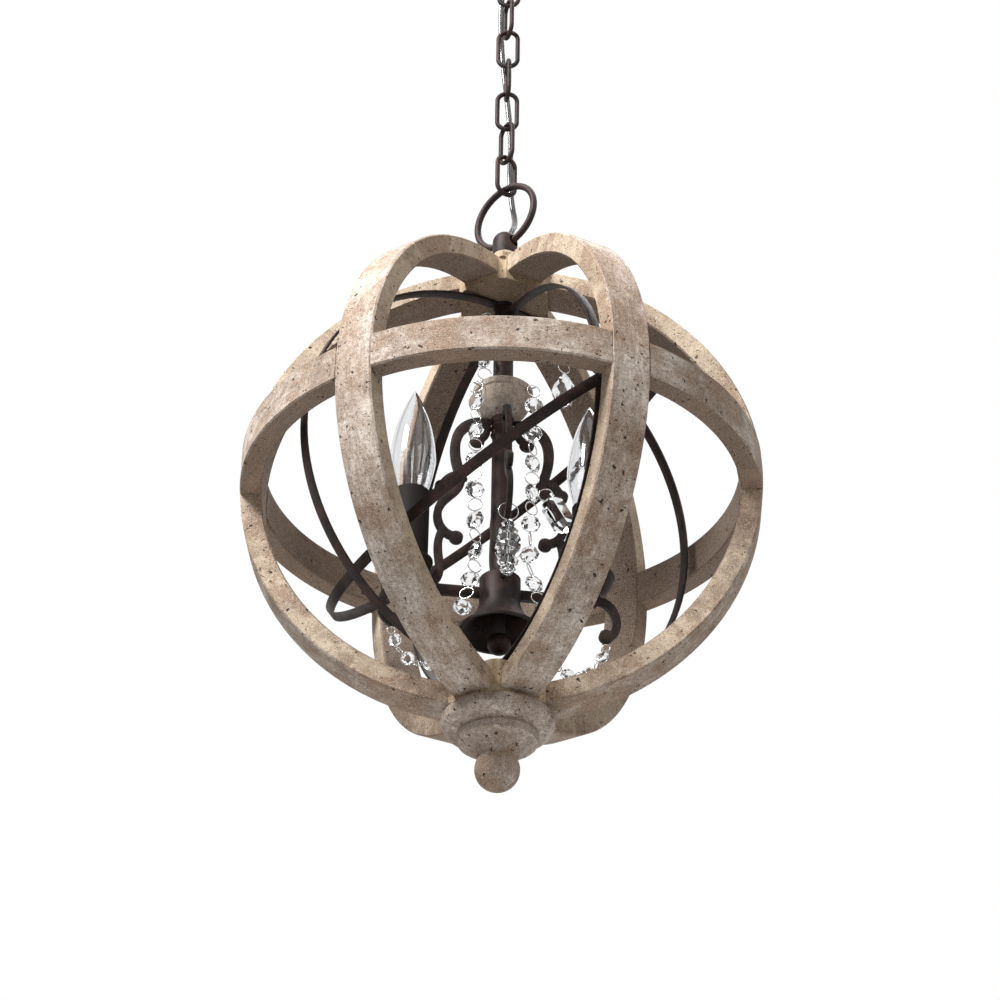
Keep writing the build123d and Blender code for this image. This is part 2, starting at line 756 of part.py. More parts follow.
cap_low = holder_top - socket_depth + seat_gap
neck = cap_low + bulb_cap_length
for side, light in lights.items():
    light_axis = Axis(light.origin, (0, 0, 1))
    with BuildPart() as bulb_cap:
        with BuildSketch(light):
            with BuildLine():
                Polyline(
                    (0, cap_low),
                    (2.5, cap_low),
                    (bulb_cap_radius, cap_low + 4),
                    (bulb_cap_radius, neck),
                    (0, neck),
                    close=True,
                )
            make_face()
        revolve(axis=light_axis)
    save(bulb_cap.part, f"bulb_cap_{side}")

    with BuildPart() as bulb_glass:
        with BuildSketch(light):
            with BuildLine():
                inner_neck = bulb_cap_radius - glass_wall
                inner_widest = glass_radius - glass_wall
                inner_tip = glass_tip - 2 * glass_wall
                Line((inner_neck, neck), (bulb_cap_radius, neck))
                ThreePointArc((bulb_cap_radius, neck), glass_shoulder, (glass_radius, glass_widest))
                ThreePointArc((glass_radius, glass_widest), glass_taper, (glass_wall, glass_tip))
                Polyline((glass_wall, glass_tip), (0, glass_tip), (0, inner_tip), (glass_wall, inner_tip))
                ThreePointArc(
                    (glass_wall, inner_tip),
                    (glass_taper[0] - glass_wall, glass_taper[1]),
                    (inner_widest, glass_widest),
                )
                ThreePointArc(
                    (inner_widest, glass_widest),
                    (glass_shoulder[0] - glass_wall, glass_shoulder[1]),
                    (inner_neck, neck),
                )
            make_face()
        revolve(axis=light_axis)
    save(bulb_glass.part, f"bulb_glass_{side}")

# ---------------------------------------------------------------- crystal
def cut_crystal(place, radius, thick):
    """Adds an eight-sided crystal, flat to the place's z, to the piece that is being built."""
    with BuildSketch(place.offset(-crystal_girdle / 2)) as girdle:
        RegularPolygon(radius, 8)
    extrude(girdle.sketch, amount=crystal_girdle)
    for half in (1, -1):
        with BuildSketch(place.offset(half * crystal_girdle / 2)) as edge:
            RegularPolygon(radius, 8)
        with BuildSketch(place.offset(half * thick / 2)) as table:
            RegularPolygon(0.5 * radius, 8)
        loft([edge.sketch, table.sketch])


def wire_ring(place, radius):
    """Adds a thin wire ring, lying flat on the place."""
    with BuildSketch(place.offset(-small_wire / 2)) as ring_face:
        Circle(radius + small_wire / 2)
        Circle(radius - small_wire / 2, mode=Mode.SUBTRACT)
    extrude(ring_face.sketch, amount=small_wire)


def long_crystal(crown, down, facing, rings):
    """Adds a cut pendant that hangs from its crown, lofted through eight-sided rings (radius, drop)."""
    for (upper, upper_drop), (lower, lower_drop) in zip(rings, rings[1:]):
        with BuildSketch(Plane(crown + down * upper_drop, x_dir=facing, z_dir=down)) as above:
            RegularPolygon(upper, 8)
        with BuildSketch(Plane(crown + down * lower_drop, x_dir=facing, z_dir=down)) as below:
            RegularPolygon(lower, 8)
        loft([above.sketch, below.sketch])


def at(azimuth, radius, height):
    return direction(azimuth) * radius + Vector(0, 0, orb_z + height)


def stations(route, step):
    """Points along a route of straight runs, a step apart."""
    line = Polyline(*route)
    return [line @ (step * number / line.length) for number in range(int(line.length / step) + 1)]


def hang_string(points, facing, radius):
    """Adds a string: wire rings with a crystal after each. The first ring faces the same way as the crystals."""
    for number, here in enumerate(points):
        there = points[number + 1] if number + 1 < len(points) else here * 2 - points[number - 1]
        along = (there - here).normalized()
        out = (facing - along * facing.dot(along)).normalized()
        if number % 2:
            cut_crystal(Plane(here, x_dir=along, z_dir=out), radius, crystal_thick * radius / crystal_radius)
        else:
            face = out.cross(along) if number else out
            wire_ring(Plane(here, x_dir=along, z_dir=face), small_ring * radius / crystal_radius)


string_step = crystal_radius + small_ring + small_wire / 2 + seat_gap
swag_step = (swag_crystal + small_ring * swag_crystal / crystal_radius + small_wire / 2) + seat_gap
strings = []
for azimuth, route, peg_start in (
    (-50, ((28, 84), (27, -20), (25, -80), (37, -126)), bowl_radius),
    (62, ((28, 84), (27, -20), (25, -80), (37, -126)), bowl_radius),
    (-62, ((17, 160), (17, 100)), column_bead),
):
    points = stations([at(azimuth, radius, height) for radius, height in route], string_step)
    strings.append((azimuth, points, peg_start, route[0]))
swags = []
for azimuth in arm_azimuths.values():
    route = ((82.5, -138.3), (77, -154), (66, -165), (54, -166), (43, -157), (34, -140))
    swags.append((azimuth, stations([at(azimuth, radius, height) for radius, height in route], swag_step)))

with BuildPart() as crystal_strings:
    for azimuth, points, peg_start, (radius, height) in strings:
        hang_string(points, direction(azimuth), crystal_radius)
        peg_height = orb_z + height + small_ring - small_wire / 2 - peg_radius - running_gap
        peg_plane = Plane(Vector(0, 0, peg_height), z_dir=direction(azimuth))
        with BuildSketch(peg_plane.offset(peg_start + running_gap)):
            Circle(peg_radius)
        extrude(amount=radius + 2 * peg_radius - peg_start)
    for azimuth, points in swags:
        hang_string(points, direction(azimuth + 90), swag_crystal)
    prism_ring = Vector(34.8, -13.5, orb_z - 16)
    prism_down = Vector(0.45, -0.05, -0.89).normalized()
    wire_ring(Plane(prism_ring, z_dir=(0, 1, 0)), small_ring)
    long_crystal(
        prism_ring + prism_down * (small_ring + small_wire / 2 + seat_gap),
        prism_down,
        Vector(0, 1, 0),
        ((3, 0), (9.5, 5), (9.5, 26), (5, 32)),
    )
save(crystal_strings.part, "crystal_strings")

down = Vector(0, 0, -1)
cone_hang = at(brace_azimuths["front"], cone_radius, cone_height)
cone_facing = direction(brace_azimuths["front"])
with BuildPart() as pendant_front:
    wire_ring(Plane(cone_hang, z_dir=cone_facing), cone_ring)
    long_crystal(
        cone_hang + down * (cone_ring + small_wire / 2 + seat_gap),
        down,
        cone_facing,
        ((3, 0), (6, 7), (11.5, 18), (10, 34), (4.5, 50)),
    )
save(pendant_front.part, "pendant_front")

drop_hang = at(outer_hoop_azimuth + 180, drop_radius, drop_height)
drop_facing = direction(outer_hoop_azimuth + 180)
with BuildPart() as pendant_hoop:
    wire_ring(Plane(drop_hang, z_dir=drop_facing), drop_ring)
    bead_centre = drop_hang + down * (drop_ring + small_wire / 2 + seat_gap + swag_crystal)
    cut_crystal(Plane(bead_centre, x_dir=down, z_dir=drop_facing), swag_crystal, swag_crystal)
    small_hang = bead_centre + down * (swag_crystal + small_wire / 2 + seat_gap + small_ring)
    wire_ring(Plane(small_hang, x_dir=down, z_dir=drop_facing.cross(down)), small_ring)
    long_crystal(
        small_hang + down * (small_ring + small_wire / 2 + seat_gap),
        down,
        drop_facing,
        ((2, 0), (6, 7), (10.5, 19), (8, 28), (2, 34)),
    )
save(pendant_hoop.part, "pendant_hoop")
print("pendant hinges", cone_hang, drop_hang)

# ---------------------------------------------------------------- cord
cord_points = [
    Vector(0, 0, barrel_foot + 16),
    Vector(0, 0, barrel_foot - 2),
    Vector(-2, 14.5, barrel_foot - 13.5),
    Vector(-5, 17, -80),
    Vector(-7, 16.5, -118),
    Vector(-6, 17, -156),
    Vector(-3, 16.5, -194),
    Vector(1, 17, -232),
    Vector(4, 16.5, -270),
    Vector(3, 17, -306),
    Vector(5, 16.5, -340),
    Vector(9, 15, -364),
    Vector(cord_side.X, cord_side.Y, -382),
    Vector(cord_side.X, cord_side.Y, ring_bottom + 2),
]
cord_runs = [there - here for here, there in zip(cord_points, cord_points[1:])]
cord_turns = []
for before, after in zip(cord_runs, cord_runs[1:]):
    half_turn = math.radians(before.get_angle(after) / 2)
    cord_turns.append(min(400.0, 0.45 * min(before.length, after.length) / math.tan(half_turn)))
print("cord radii", [round(radius, 1) for radius in cord_turns])
print("cord runs", [round(run.length, 1) for run in cord_runs])
with BuildPart() as cord:
    with BuildLine() as cord_path:
        FilletPolyline(*cord_points, radius=cord_turns)
    cord_wire = cord_path.wires()[0]
    with BuildSketch(Plane(cord_wire @ 0, z_dir=cord_wire % 0)):
        Circle(cord_radius)
    sweep(path=cord_wire)
save(cord.part, "cord")
print("cord volume", round(cord.part.volume), "section by length", round(math.pi * cord_radius**2 * cord_wire.length))
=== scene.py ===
"""Dresses an orb chandelier: whitewashed wood, rusted iron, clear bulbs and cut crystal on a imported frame."""

from __future__ import annotations

import json
import logging
import math
from dataclasses import dataclass, field
from enum import Enum

import bmesh
import bpy
from mathutils import Matrix, Vector

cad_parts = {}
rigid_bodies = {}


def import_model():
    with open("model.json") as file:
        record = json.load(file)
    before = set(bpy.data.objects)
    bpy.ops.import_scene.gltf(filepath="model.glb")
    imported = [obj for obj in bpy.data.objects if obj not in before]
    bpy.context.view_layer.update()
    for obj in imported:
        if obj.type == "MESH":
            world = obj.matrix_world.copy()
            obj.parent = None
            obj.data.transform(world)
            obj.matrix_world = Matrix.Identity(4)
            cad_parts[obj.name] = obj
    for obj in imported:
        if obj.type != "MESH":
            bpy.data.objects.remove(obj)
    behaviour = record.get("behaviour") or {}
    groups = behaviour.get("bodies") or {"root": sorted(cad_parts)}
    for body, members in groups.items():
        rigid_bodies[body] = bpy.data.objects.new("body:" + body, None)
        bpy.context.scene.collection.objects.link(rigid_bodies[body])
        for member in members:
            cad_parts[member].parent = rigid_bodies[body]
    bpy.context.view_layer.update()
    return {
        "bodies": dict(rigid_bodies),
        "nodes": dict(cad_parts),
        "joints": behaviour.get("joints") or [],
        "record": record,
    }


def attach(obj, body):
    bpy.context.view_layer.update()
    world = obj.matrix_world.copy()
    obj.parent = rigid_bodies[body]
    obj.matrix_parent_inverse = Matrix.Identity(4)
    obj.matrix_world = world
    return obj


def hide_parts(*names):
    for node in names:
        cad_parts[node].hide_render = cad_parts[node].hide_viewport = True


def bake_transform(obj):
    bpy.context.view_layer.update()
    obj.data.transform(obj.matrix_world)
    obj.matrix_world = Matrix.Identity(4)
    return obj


log = logging.getLogger("orb_chandelier")

ORB = Vector((0.0, 0.0, -0.6417))
"""The middle of the wooden cage, which the lamp's own sizes count from."""

MM = 0.001
"""Metres in a millimetre."""

UP = Vector((0.0, 0.0, 1.0))
RIGHT = Vector((1.0, 0.0, 0.0))
BACK = Vector((0.0, 1.0, 0.0))

Triple = tuple[float, float, float]
"""A colour, a place, or a noise pattern's scale, octaves and strength of the fine ones."""

Pair = tuple[float, float]
"""Where a pattern counts as 0 and as 1, or a radius and a height."""


class Edge(Enum):
    """How a frame piece's edges catch the light."""

    SMOOTH = "smooth"
    EASED = "eased"


class Grain(Enum):
    """Which way the wood grain runs on a piece."""

    ALONG_RIB = "along_rib"
    ROUND_BELT = "round_belt"
    UPRIGHT = "upright"


def bearing(azimuth: float) -> Vector:
    """Gives a level direction.

    Args:
        azimuth: degrees from the front (-Y) towards +X.

    Returns:
        A unit vector.
    """
    angle = math.radians(azimuth)
    return Vector((math.sin(angle), -math.cos(angle), 0.0))


def at(azimuth: float, radius: float, height: float) -> Vector:
    """Places a point in the lamp.

    Args:
        azimuth: degrees from the front towards +X.
        radius: millimetres from the stem's axis.
        height: millimetres above the cage's middle.

    Returns:
        The point in metres, in the row frame.
    """
    return ORB + bearing(azimuth) * radius * MM + Vector((0.0, 0.0, height * MM))


def turned(z_axis: Vector, x_axis: Vector, origin: Vector) -> Matrix:
    """Gives the transform of a small piece that is made about its own origin.

    Args:
        z_axis: where the piece's z goes.
        x_axis: roughly where its x goes.
        origin: where its origin goes, in metres.

    Returns:
        A 4x4 matrix.
    """
    z = z_axis.normalized()
    x = (x_axis - z * x_axis.dot(z)).normalized()
    y = z.cross(x)
    return Matrix.Translation(origin) @ Matrix((x, y, z)).transposed().to_4x4()


# ---------------------------------------------------------------- node helpers
class Shader:
    """A small helper that adds and links the nodes of one material."""

    def __init__(self, name: str) -> None:
        """Starts an empty material with a Principled shader.

        Args:
            name: the material's name.
        """
        self.material = bpy.data.materials.new(name)
        self.material.use_nodes = True
        self.tree = self.material.node_tree
        self.tree.nodes.clear()
        self.out = self.tree.nodes.new("ShaderNodeOutputMaterial")
        self.skin = self.tree.nodes.new("ShaderNodeBsdfPrincipled")
        self.tree.links.new(self.skin.outputs[0], self.out.inputs["Surface"])

    def node(self, kind: str, inputs: dict | None = None, **settings: object) -> bpy.types.Node:
        """Adds a node.

        Args:
            kind: the node's type.
            inputs: what goes into it, by an input's name or number.
            settings: its properties.

        Returns:
            The new node.
        """
        made = self.tree.nodes.new(kind)
        for key, value in settings.items():
            setattr(made, key, value)
        for key, value in (inputs or {}).items():
            self.feed(made.inputs[key], value)
        return made

    def feed(self, target: bpy.types.NodeSocket, source: object) -> None:
        """Links a socket, or sets its value.

        Args:
            target: the input.
            source: an output socket, a number or a colour.
        """
        if isinstance(source, bpy.types.NodeSocket):
            self.tree.links.new(source, target)
        else:
            target.default_value = source

    def place(self) -> bpy.types.NodeSocket:
        """Gives the piece's Object coordinates."""
        return self.node("ShaderNodeTexCoord").outputs["Object"]

    def math(self, operation: str, *values: object) -> bpy.types.NodeSocket:
        """Adds a Math node.

        Args:
            operation: its operation.
            values: what goes into it.

        Returns:
            Its output.
        """
        return self.node("ShaderNodeMath", dict(enumerate(values)), operation=operation).outputs[0]

    def shifted(self, vector: object, move: Triple, scale: Triple) -> object:
        """Moves and stretches a coordinate.

        Args:
            vector: the coordinate.
            move: metres added.
            scale: factors along x, y and z.

        Returns:
            The mapped coordinate.
        """
        return self.node("ShaderNodeMapping", {"Vector": vector, "Location": move, "Scale": scale}).outputs[0]

    def noise(self, vector: object, scale: float, detail: float = 5.0, rough: float = 0.55) -> object:
        """Adds a noise pattern.

        Args:
            vector: the coordinate.
            scale: repeats in a metre.
            detail: octaves.
            rough: how strong the fine ones are.

        Returns:
            The pattern, 0 to 1.
        """
        inputs = {"Vector": vector, "Scale": scale, "Detail": detail, "Roughness": rough}
        return self.node("ShaderNodeTexNoise", inputs).outputs["Fac"]

    def spots(self, vector: object, scale: float) -> object:
        """Gives the distance to the nearest of many scattered points.

        Args:
            vector: the coordinate.
            scale: points in a metre.

        Returns:
            The distance.
        """
        return self.node("ShaderNodeTexVoronoi", {"Vector": vector, "Scale": scale}).outputs["Distance"]

    def step(self, value: object, low: float, high: float) -> object:
        """Turns a range of a pattern into a soft 0 to 1 step.

        Args:
            value: the pattern.
            low: where it is 0.
            high: where it is 1.

        Returns:
            The step.
        """
        inputs = {"Value": value, "From Min": low, "From Max": high}
        return self.node("ShaderNodeMapRange", inputs, interpolation_type="SMOOTHSTEP").outputs["Result"]

    def mix(self, amount: object, first: object, second: object) -> object:
        """Mixes two colours.

        Args:
            amount: 0 for the first and 1 for the second.
            first: a colour or socket.
            second: a colour or socket.

        Returns:
            The mixed colour.
        """
        made = self.node("ShaderNodeMix", data_type="RGBA")
        self.feed(made.inputs[0], amount)
        for socket, value in ((made.inputs[6], first), (made.inputs[7], second)):
            self.feed(socket, (*value, 1.0) if isinstance(value, tuple) and len(value) == 3 else value)
        return made.outputs[2]

    def coat(self, colour: object, pattern: object, span: Pair, cover: float, over: object) -> object:
        """Lays one colour over another where a pattern says.

        Args:
            colour: the colour below.
            pattern: the pattern.
            span: where the pattern counts as 0 and as 1.
            cover: how much shows where it is 1.
            over: the colour on top.

        Returns:
            The coated colour.
        """
        return self.mix(self.math("MULTIPLY", self.step(pattern, *span), cover), colour, over)

    def surface(self, colour: object, values: dict[str, float]) -> None:
        """Gives the surface its colour and its other values.

        Args:
            colour: a colour or socket.
            values: what the shader's inputs are set to, by name.
        """
        self.feed(self.skin.inputs["Base Color"], colour)
        for name, value in values.items():
            self.skin.inputs[name].default_value = value

    def bump(self, height: object, depth: float) -> None:
        """Roughens the surface.

        Args:
            height: the pattern.
            depth: its height in metres.
        """
        made = self.node("ShaderNodeBump", {"Strength": 1.0, "Distance": depth, "Height": height})
        self.tree.links.new(made.outputs[0], self.skin.inputs["Normal"])


# ---------------------------------------------------------------- finishes
@dataclass(frozen=True)
class WashedWood:
    """Old wood with a thin pale wash, worn brown in patches and pitted, with painted shade on the faces turned
    towards the cage's middle.
    """

    name: str
    grain: Grain
    wash: Triple = (0.58, 0.465, 0.375)
    pale: Triple = (0.86, 0.765, 0.68)
    worn: Triple = (0.19, 0.12, 0.078)
    tan: Triple = (0.36, 0.235, 0.15)
    # The dark brown of the painted shade on faces turned towards the cage's middle, the hubs' undersides among
    # them.
    inside_shade_tone: Triple = (0.19, 0.13, 0.092)
    cut: Triple = (0.66, 0.53, 0.385)
    # The side faces' colour: raw cut wood on the ribs; on the belts a dark brown that is painted shade of the
    # band's underside.
    pit: Triple = (0.035, 0.022, 0.017)
    wear: float = 0.5
    inside_shade: float = 0.85
    grime: float = 0.55
    rib_azimuth: float = -32.75
    rib_step: float = 60.0
    roughness: float = 0.72
    shine: float = 0.25
    depth: float = 0.0005
    # The grain: metres along it that a radian of turn counts as, and how it is drawn out on turned pieces.
    turn_length: float = 0.025
    upright_stretch: float = 0.12
    # Which way a face looks, as its cosine to the line out of the cage's middle.
    inner_span: Pair = (-0.25, -0.6)
    side_span: Pair = (0.6, 0.3)
    # Noise patterns.
    clouds: Triple = (15.0, 6.0, 0.62)
    small_clouds: Triple = (58.0, 5.0, 0.68)
    cloud_shares: Pair = (0.6, 0.4)
    streaks: Triple = (300.0, 4.0, 0.6)
    speckle: Triple = (360.0, 5.0, 0.8)
    fine: Triple = (1250.0, 3.0, 0.7)
    stains: Triple = (27.0, 5.0, 0.6)
    # Coats: where in its pattern each one starts and is full, and how much it covers.
    pale_span: Pair = (0.49, 0.60)
    bare_span: Pair = (0.585, 0.50)
    wear_shift: float = 0.14
    bare_cover: float = 1.6
    stain_span: Pair = (0.53, 0.64)
    line_span: Pair = (0.58, 0.40)
    line_cover: float = 0.34
    grit_span: Pair = (0.56, 0.40)
    side_clean: float = 0.35
    dirt_span: Pair = (0.50, 0.38)
    dirt_cover: float = 0.45
    dust_span: Pair = (0.52, 0.62)
    dust_cover: float = 0.5
    speckle_depth: float = 0.9
    # Pits: holes in a metre, a hole's edge and the share left clear; then their patches and outline.
    pit_sizes: tuple[tuple[float, Pair, float], ...] = (
        (95.0, (0.16, 0.085), 0.46),
        (230.0, (0.21, 0.12), 0.48),
    )
    pit_patches: float = 0.42
    pit_patch_edge: float = 0.05
    pit_bend: float = 0.006
    pit_bend_scale: float = 300.0

    def grain_place(self, shader: Shader) -> bpy.types.NodeSocket:
        """Gives a coordinate that is stretched along the grain.

        Args:
            shader: the material that is being made.

        Returns:
            The coordinate, in metres across the grain.
        """
        centred = shader.shifted(shader.place(), tuple(-ORB), (1.0, 1.0, 1.0))
        x, y, z = shader.node("ShaderNodeSeparateXYZ", {0: centred}).outputs
        if self.grain is Grain.UPRIGHT:
            return shader.shifted(centred, (0.0, 0.0, 0.0), (1.0, 1.0, self.upright_stretch))
        squares = [shader.math("MULTIPLY", part, part) for part in (x, y)]
        spread = shader.math("SQRT", shader.math("ADD", *squares))
        heading = shader.math("ARCTAN2", x, shader.math("MULTIPLY", y, -1.0))
        if self.grain is Grain.ROUND_BELT:
            along = shader.math("MULTIPLY", heading, self.turn_length)
            return shader.node("ShaderNodeCombineXYZ", {0: z, 1: spread, 2: along}).outputs[0]
        own = shader.math("SUBTRACT", heading, math.radians(self.rib_azimuth))
        half = math.radians(self.rib_step / 2)
        across = shader.math("MULTIPLY", spread, shader.math("SINE", shader.math("WRAP", own, half, -half)))
        along = shader.math("MULTIPLY", shader.math("ARCTAN2", z, spread), self.turn_length)
        which = shader.math("ROUND", shader.math("DIVIDE", own, math.radians(self.rib_step)))
        along = shader.math("ADD", along, which)
        return shader.node("ShaderNodeCombineXYZ", {0: across, 1: along, 2: 0.0}).outputs[0]

    def facing(self, shader: Shader) -> tuple[bpy.types.NodeSocket, bpy.types.NodeSocket]:
        """Tells the bare inner faces and the cut side faces from the washed outer ones.

        Args:
            shader: the material that is being made.

        Returns:
            Tells the faces turned towards the cage's middle, which get painted shade, and the cut side faces
            from the washed outer ones.
        """
        centred = shader.shifted(shader.place(), tuple(-ORB), (1.0, 1.0, 1.0))
        away = shader.node("ShaderNodeVectorMath", {0: centred}, operation="NORMALIZE").outputs[0]
        normal = shader.node("ShaderNodeTexCoord").outputs["Normal"]
        dot = shader.node("ShaderNodeVectorMath", {0: away, 1: normal}, operation="DOT_PRODUCT")
        outward = dot.outputs["Value"]
        inward_shade = shader.step(outward, *self.inner_span)
        edge = shader.step(shader.math("ABSOLUTE", outward), *self.side_span)
        return inward_shade, edge

    def pits(self, shader: Shader) -> bpy.types.NodeSocket:
        """Scatters dark pits of two sizes.

        Args:
            shader: the material that is being made.

        Returns:
            1 in a pit.
        """
        place = shader.place()
        warp = shader.node("ShaderNodeTexNoise", {"Vector": place, "Scale": self.pit_bend_scale})
        inputs = {0: warp.outputs["Color"], 1: (self.pit_bend,) * 3, 2: place}
        bent = shader.node("ShaderNodeVectorMath", inputs, operation="MULTIPLY_ADD").outputs[0]
        pits = None
        for scale, span, share in self.pit_sizes:
            holes = shader.step(shader.spots(bent, scale), *span)
            patches = shader.noise(place, scale * self.pit_patches, 2.0)
            some = shader.step(patches, share, share + self.pit_patch_edge)
            found = shader.math("MULTIPLY", holes, some)
            pits = found if pits is None else shader.math("MAXIMUM", pits, found)
        return pits

    def build(self) -> bpy.types.Material:
        """Makes the material."""
        shader = Shader(self.name)
        place = shader.place()
        grain = self.grain_place(shader)
        inward_shade, edge = self.facing(shader)
        streaks = shader.noise(grain, *self.streaks)
        speckle = shader.noise(place, *self.speckle)
        fine = shader.noise(place, *self.fine)
        shares = [
            shader.math("MULTIPLY", shader.noise(place, *pattern), share)
            for pattern, share in zip((self.clouds, self.small_clouds), self.cloud_shares)
        ]
        mixed = shader.math("ADD", *shares)
        worn_off = self.wear_shift * self.wear
        bare_span = (self.bare_span[0] - worn_off, self.bare_span[1] - worn_off)
        pits = self.pits(shader)
        colour = shader.mix(shader.step(mixed, *self.pale_span), self.wash, self.pale)
        # Side faces take the cut colour, which on the belts is painted shade.
        colour = shader.mix(edge, colour, self.cut)
        colour = shader.coat(colour, mixed, bare_span, min(1.0, self.bare_cover * self.grime), self.tan)
        stains = shader.noise(place, *self.stains)
        colour = shader.coat(colour, stains, self.stain_span, self.grime, self.worn)
        # Painted shade: faces turned towards the cage's middle, the hubs' undersides among them, are darkened
        # to a brown.
        colour = shader.mix(shader.math("MULTIPLY", inward_shade, self.inside_shade), colour, self.inside_shade_tone)
        colour = shader.coat(colour, streaks, self.line_span, self.line_cover, self.worn)
        cleaned = shader.math("MULTIPLY", edge, self.side_clean * self.grime)
        grit = shader.math("SUBTRACT", self.grime, cleaned)
        colour = shader.coat(colour, speckle, self.grit_span, grit, self.worn)
        colour = shader.coat(colour, fine, self.dirt_span, self.dirt_cover, self.worn)
        colour = shader.coat(colour, fine, self.dust_span, self.dust_cover, self.pale)
        colour = shader.mix(pits, colour, self.pit)
        shader.surface(colour, {"Roughness": self.roughness, "Specular IOR Level": self.shine})
        relief = shader.math("ADD", streaks, shader.math("MULTIPLY", speckle, self.speckle_depth))
        shader.bump(shader.math("SUBTRACT", relief, pits), self.depth)
        return shader.material


@dataclass(frozen=True)
class RustIron:
    """Iron painted a dark rust brown, with a sandy texture and worn bright specks."""

    name: str
    dark: Triple = (0.010, 0.006, 0.005)
    brown: Triple = (0.040, 0.019, 0.016)
    worn: Triple = (0.17, 0.115, 0.10)
    metallic: float = 0.1
    roughness: float = 0.55
    shine: float = 0.22
    texture: float = 0.00016
    clouds: Triple = (55.0, 6.0, 0.65)
    cloud_span: Pair = (0.42, 0.62)
    sand: Triple = (780.0, 4.0, 0.7)
    speck_span: Pair = (0.60, 0.72)
    speck_cover: float = 0.55

    def build(self) -> bpy.types.Material:
        """Makes the material."""
        shader = Shader(self.name)
        place = shader.place()
        clouds = shader.step(shader.noise(place, *self.clouds), *self.cloud_span)
        sand = shader.noise(place, *self.sand)
        colour = shader.mix(clouds, self.dark, self.brown)
        colour = shader.coat(colour, sand, self.speck_span, self.speck_cover, self.worn)
        values = {"Metallic": self.metallic, "Roughness": self.roughness, "Specular IOR Level": self.shine}
        shader.surface(colour, values)
        shader.bump(sand, self.texture)
        return shader.material


@dataclass(frozen=True)
class PlainMetal:
    """Bare or plated metal of the hidden fittings."""

    name: str
    colour: Triple
    roughness: float = 0.35
    shade: float = 0.7
    brush_scale: float = 300.0
    brush_stretch: float = 8.0
    brush_depth: float = 0.00004

    def build(self) -> bpy.types.Material:
        """Makes the material."""
        shader = Shader(self.name)
        stretched = shader.shifted(shader.place(), (0.0, 0.0, 0.0), (1.0, 1.0, self.brush_stretch))
        brushed = shader.noise(stretched, self.brush_scale)
        shaded = tuple(self.shade * part for part in self.colour)
        colour = shader.mix(brushed, self.colour, shaded)
        shader.surface(colour, {"Metallic": 1.0, "Roughness": self.roughness})
        shader.bump(brushed, self.brush_depth)
        return shader.material


@dataclass(frozen=True)
class ClearGlass:
    """Clear glass: the bulbs' thin glass or cut crystal."""

    name: str
    tint: Triple = (0.93, 0.935, 0.945)
    ior: float = 1.47
    roughness: float = 0.0
    ripple: float = 0.00002
    scale: float = 60.0
    shade: float = 0.93

    def build(self) -> bpy.types.Material:
        """Makes the material."""
        shader = Shader(self.name)
        wave = shader.noise(shader.place(), self.scale, 2.0)
        darker = tuple(self.shade * part for part in self.tint)
        values = {"Transmission Weight": 1.0, "Roughness": self.roughness, "IOR": self.ior}
        shader.surface(shader.mix(wave, self.tint, darker), values)
        shader.bump(wave, self.ripple)
        return shader.material


@dataclass(frozen=True)
class SleeveSkin:
    """The candle sleeves' dark matt skin."""

    name: str
    colour: Triple = (0.006, 0.004, 0.004)
    lighter: Triple = (0.015, 0.010, 0.009)
    roughness: float = 0.7
    shine: float = 0.2
    mottle: Pair = (240.0, 4.0)
    depth: float = 0.00008

    def build(self) -> bpy.types.Material:
        """Makes the material."""
        shader = Shader(self.name)
        mottle = shader.noise(shader.place(), *self.mottle)
        colour = shader.mix(mottle, self.colour, self.lighter)
        shader.surface(colour, {"Roughness": self.roughness, "Specular IOR Level": self.shine})
        shader.bump(mottle, self.depth)
        return shader.material


@dataclass(frozen=True)
class CordSkin:
    """A clear glossy sheath over dark wires."""

    name: str
    dark: Triple = (0.02, 0.018, 0.018)
    silver: Triple = (0.26, 0.25, 0.24)
    roughness: float = 0.4
    coat_weight: float = 0.8
    coat_roughness: float = 0.12
    mottle: Pair = (900.0, 3.0)
    mottle_stretch: float = 0.15
    mottle_share: float = 0.25
    row_turn: float = 1.5 * math.pi
    strand_span: Pair = (0.58, 0.34)
    depth: float = 0.0001

    def build(self) -> bpy.types.Material:
        """Makes the material."""
        shader = Shader(self.name)
        across = shader.node("ShaderNodeAttribute", attribute_name="across").outputs["Fac"]
        place = shader.shifted(shader.place(), (0.0, 0.0, 0.0), (1.0, 1.0, self.mottle_stretch))
        mottle = shader.noise(place, *self.mottle)
        rows = shader.math("ABSOLUTE", shader.math("SINE", shader.math("MULTIPLY", across, self.row_turn)))
        sheath = shader.math("ADD", rows, shader.math("MULTIPLY", mottle, self.mottle_share))
        colour = shader.mix(shader.step(sheath, *self.strand_span), self.dark, self.silver)
        values = {"Coat Weight": self.coat_weight, "Coat Roughness": self.coat_roughness}
        shader.surface(colour, {"Roughness": self.roughness, **values})
        shader.bump(mottle, self.depth)
        return shader.material


